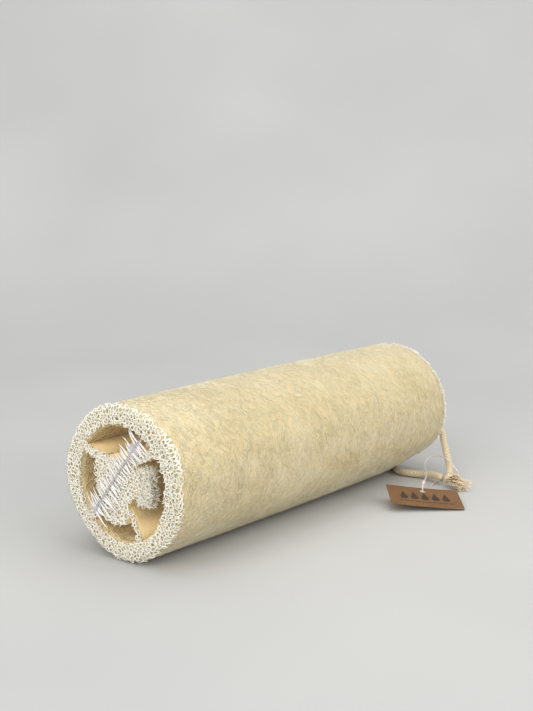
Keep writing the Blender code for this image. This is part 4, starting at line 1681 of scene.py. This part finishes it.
@dataclass
class LoopPin:
    """The nylon loop pin: a filament round the front leg and through the tag, and its lock."""

    finishes: Finishes
    filament: float = 0.9 * MM
    lock: float = 2.0 * MM
    rib_pitch: float = 1.3 * MM
    route: tuple[Point, ...] = (
        (-54.6, -58.4, 9.6), (-43.0, -52.5, 8.2), (-31.0, -45.5, 7.6), (-22.5, -39.5, 7.8),
        (-15.5, -34.8, 9.4), (-11.2, -34.6, 11.4), (-8.4, -37.4, 12.7), (-8.2, -41.8, 13.4),
        (-10.2, -47.2, 13.2), (-12.4, -52.4, 11.4), (-12.2, -57.0, 7.0), (-12.0, -58.0, 3.0),
        (-14.4, -54.4, 1.0), (-20.0, -48.6, 0.8), (-31.0, -50.2, 0.8), (-45.0, -56.0, 0.8),
        (-60.0, -62.0, 1.2), (-63.6, -63.4, 3.2), (-64.0, -63.3, 6.4), (-63.2, -62.8, 8.6),
        (-60.6, -61.4, 9.8),
    )
    lock_ends: tuple[Point, Point] = ((-60.3, -61.2, 9.85), (-54.9, -58.6, 9.7))

    def build(self) -> None:
        """Build the filament and the lock."""
        path = smooth_route(at_corded_end(self.route), 0.5 * MM)
        along = np.linspace(0, route_length(path), len(path))
        ribbed = along < 28 * MM
        ribs = np.where(ribbed, 0.16 * np.cos(TURN * along / self.rib_pitch), 0.0)
        radii = self.filament / 2 * (0.9 + ribs)
        mesh = tube_mesh(
            "loop_pin_filament",
            path[None],
            carried_normals(path)[None],
            radii[None, :, None],
            np.array(0.5),
            10,
        )
        finish_piece(mesh, self.finishes.nylon, ("pin_filament",))
        ends = at_corded_end(self.lock_ends)
        share = np.linspace(0, 1, 40)[:, None]
        barrel = ends[0] + (ends[1] - ends[0]) * share
        profile = 0.86 + 0.14 * np.cos(TURN * share[:, 0] * 5)
        profile = profile * np.sqrt(np.clip(1 - (2 * share[:, 0] - 1) ** 8, 0.12, 1))
        normals = carried_normals(barrel)
        radii = self.lock / 2 * profile
        mesh = tube_mesh(
            "loop_pin_lock", barrel[None], normals[None], radii[None, :, None], np.array(0.5), 16
        )
        finish_piece(mesh, self.finishes.nylon, ("pin_lock",))


# The studio


@dataclass
class Studio:
    """Pale floor and sweep, soft lights and the camera."""

    eye: Point = (-0.508, -0.412, 0.2051)
    heading: tuple[float, float] = (0.7717, 0.6360)
    pitch: float = 9.88
    lens: float = 57.6
    flat: float = 0.42
    bend: float = 0.6
    wall: float = 1.8
    half_width: float = 2.4
    front: float = -2.2
    sky: Colour = (0.98, 0.98, 1.0, 1.0)
    sky_strength: float = 0.5

    def build(self) -> None:
        """Build the camera, the paper and the lights."""
        self.build_camera()
        self.build_paper()
        side = np.array([self.heading[1], -self.heading[0], 0.0])
        ahead = np.array([*self.heading, 0.0])
        up = np.array([0, 0, 1.0])
        self.add_light("key_light", side * 1.0 + up * 0.75 - ahead * 0.55, 1.2, 8.0)
        self.add_light("top_light", up * 1.5 + ahead * 0.1, 1.9, 8.0)
        self.add_light("front_light", up * 0.55 - ahead * 1.1 - side * 0.5, 1.4, 14.0)
        wall = ahead * (self.flat + self.bend) + up * 0.5
        self.add_light("backdrop_light", up * 1.5, 1.2, 4.0, wall)
        world = bpy.context.scene.world or bpy.data.worlds.new("studio")
        bpy.context.scene.world = world
        world.use_nodes = True
        world.node_tree.nodes["Background"].inputs[0].default_value = self.sky
        world.node_tree.nodes["Background"].inputs[1].default_value = self.sky_strength
        bpy.context.scene.view_settings.view_transform = "Standard"

    def build_camera(self) -> None:
        """Put the camera in its place."""
        made = bpy.data.cameras.new("studio_camera")
        made.lens = self.lens
        made.sensor_width = 36.0
        camera = bpy.data.objects.new("studio_camera", made)
        camera.location = self.eye
        turn = -math.atan2(*self.heading)
        camera.rotation_euler = (math.radians(90 - self.pitch), 0, turn)
        bpy.context.scene.collection.objects.link(camera)
        bpy.context.scene.camera = camera

    def build_paper(self) -> None:
        """Build the floor and the sweep behind as one sheet."""
        arc = np.linspace(0, math.pi / 2, 24)
        ahead = np.concatenate(
            [[self.front], self.flat + self.bend * np.sin(arc), [self.flat + self.bend]]
        )
        up = np.concatenate([[0.0], self.bend * (1 - np.cos(arc)), [self.wall]])
        forward = np.array([*self.heading])
        side = np.array([self.heading[1], -self.heading[0]])
        rows = []
        for reach in (-self.half_width, self.half_width):
            flat = ahead[:, None] * forward + reach * side
            rows.append(np.concatenate([flat, up[:, None]], axis=1))
        points = np.stack(rows, axis=1).reshape(-1, 3)
        mesh = mesh_of("paper_sweep", points, [grid_faces(len(ahead), 2, False)[:, ::-1]])
        mesh.materials.append(StudioFinish().build())
        paper = bpy.data.objects.new("paper_sweep", mesh)
        bpy.context.scene.collection.objects.link(paper)

    def add_light(
        self, name: str, place: np.ndarray, size: float, power: float, aim: np.ndarray | None = None
    ) -> None:
        """Add a soft square light aimed at the object, or at another spot.

        Args:
            name: The light's name.
            place: Where it hangs.
            size: Its side.
            power: Its power in watts.
            aim: Where it points; the object if none.
        """
        spot = Vector((0, 0, 0.04)) if aim is None else Vector(aim)
        made = bpy.data.lights.new(name, "AREA")
        made.size = size
        made.energy = power
        lamp = bpy.data.objects.new(name, made)
        lamp.location = place
        lamp.rotation_euler = (spot - Vector(place)).to_track_quat("-Z", "Y").to_euler()
        bpy.context.scene.collection.objects.link(lamp)


def main() -> None:
    """Build the scrubber and its studio."""
    Studio().build()
    finishes = Finishes()
    HangingCord(finishes).build()
    shape = BodyShape()
    LOG.info("body measured")
    FibreMat(shape, finishes).build()
    InnerFibre(shape, finishes).build()
    CutFace(shape, finishes, End.NEAR).build()
    CutFace(shape, finishes, End.FAR, curls=1500, seed=205).build()
    ShrinkFilm(shape, finishes).build()
    TagCard(finishes).build()
    LoopPin(finishes).build()


if __name__ == "__main__":
    logging.basicConfig(level=logging.INFO, format="%(message)s")
    main()
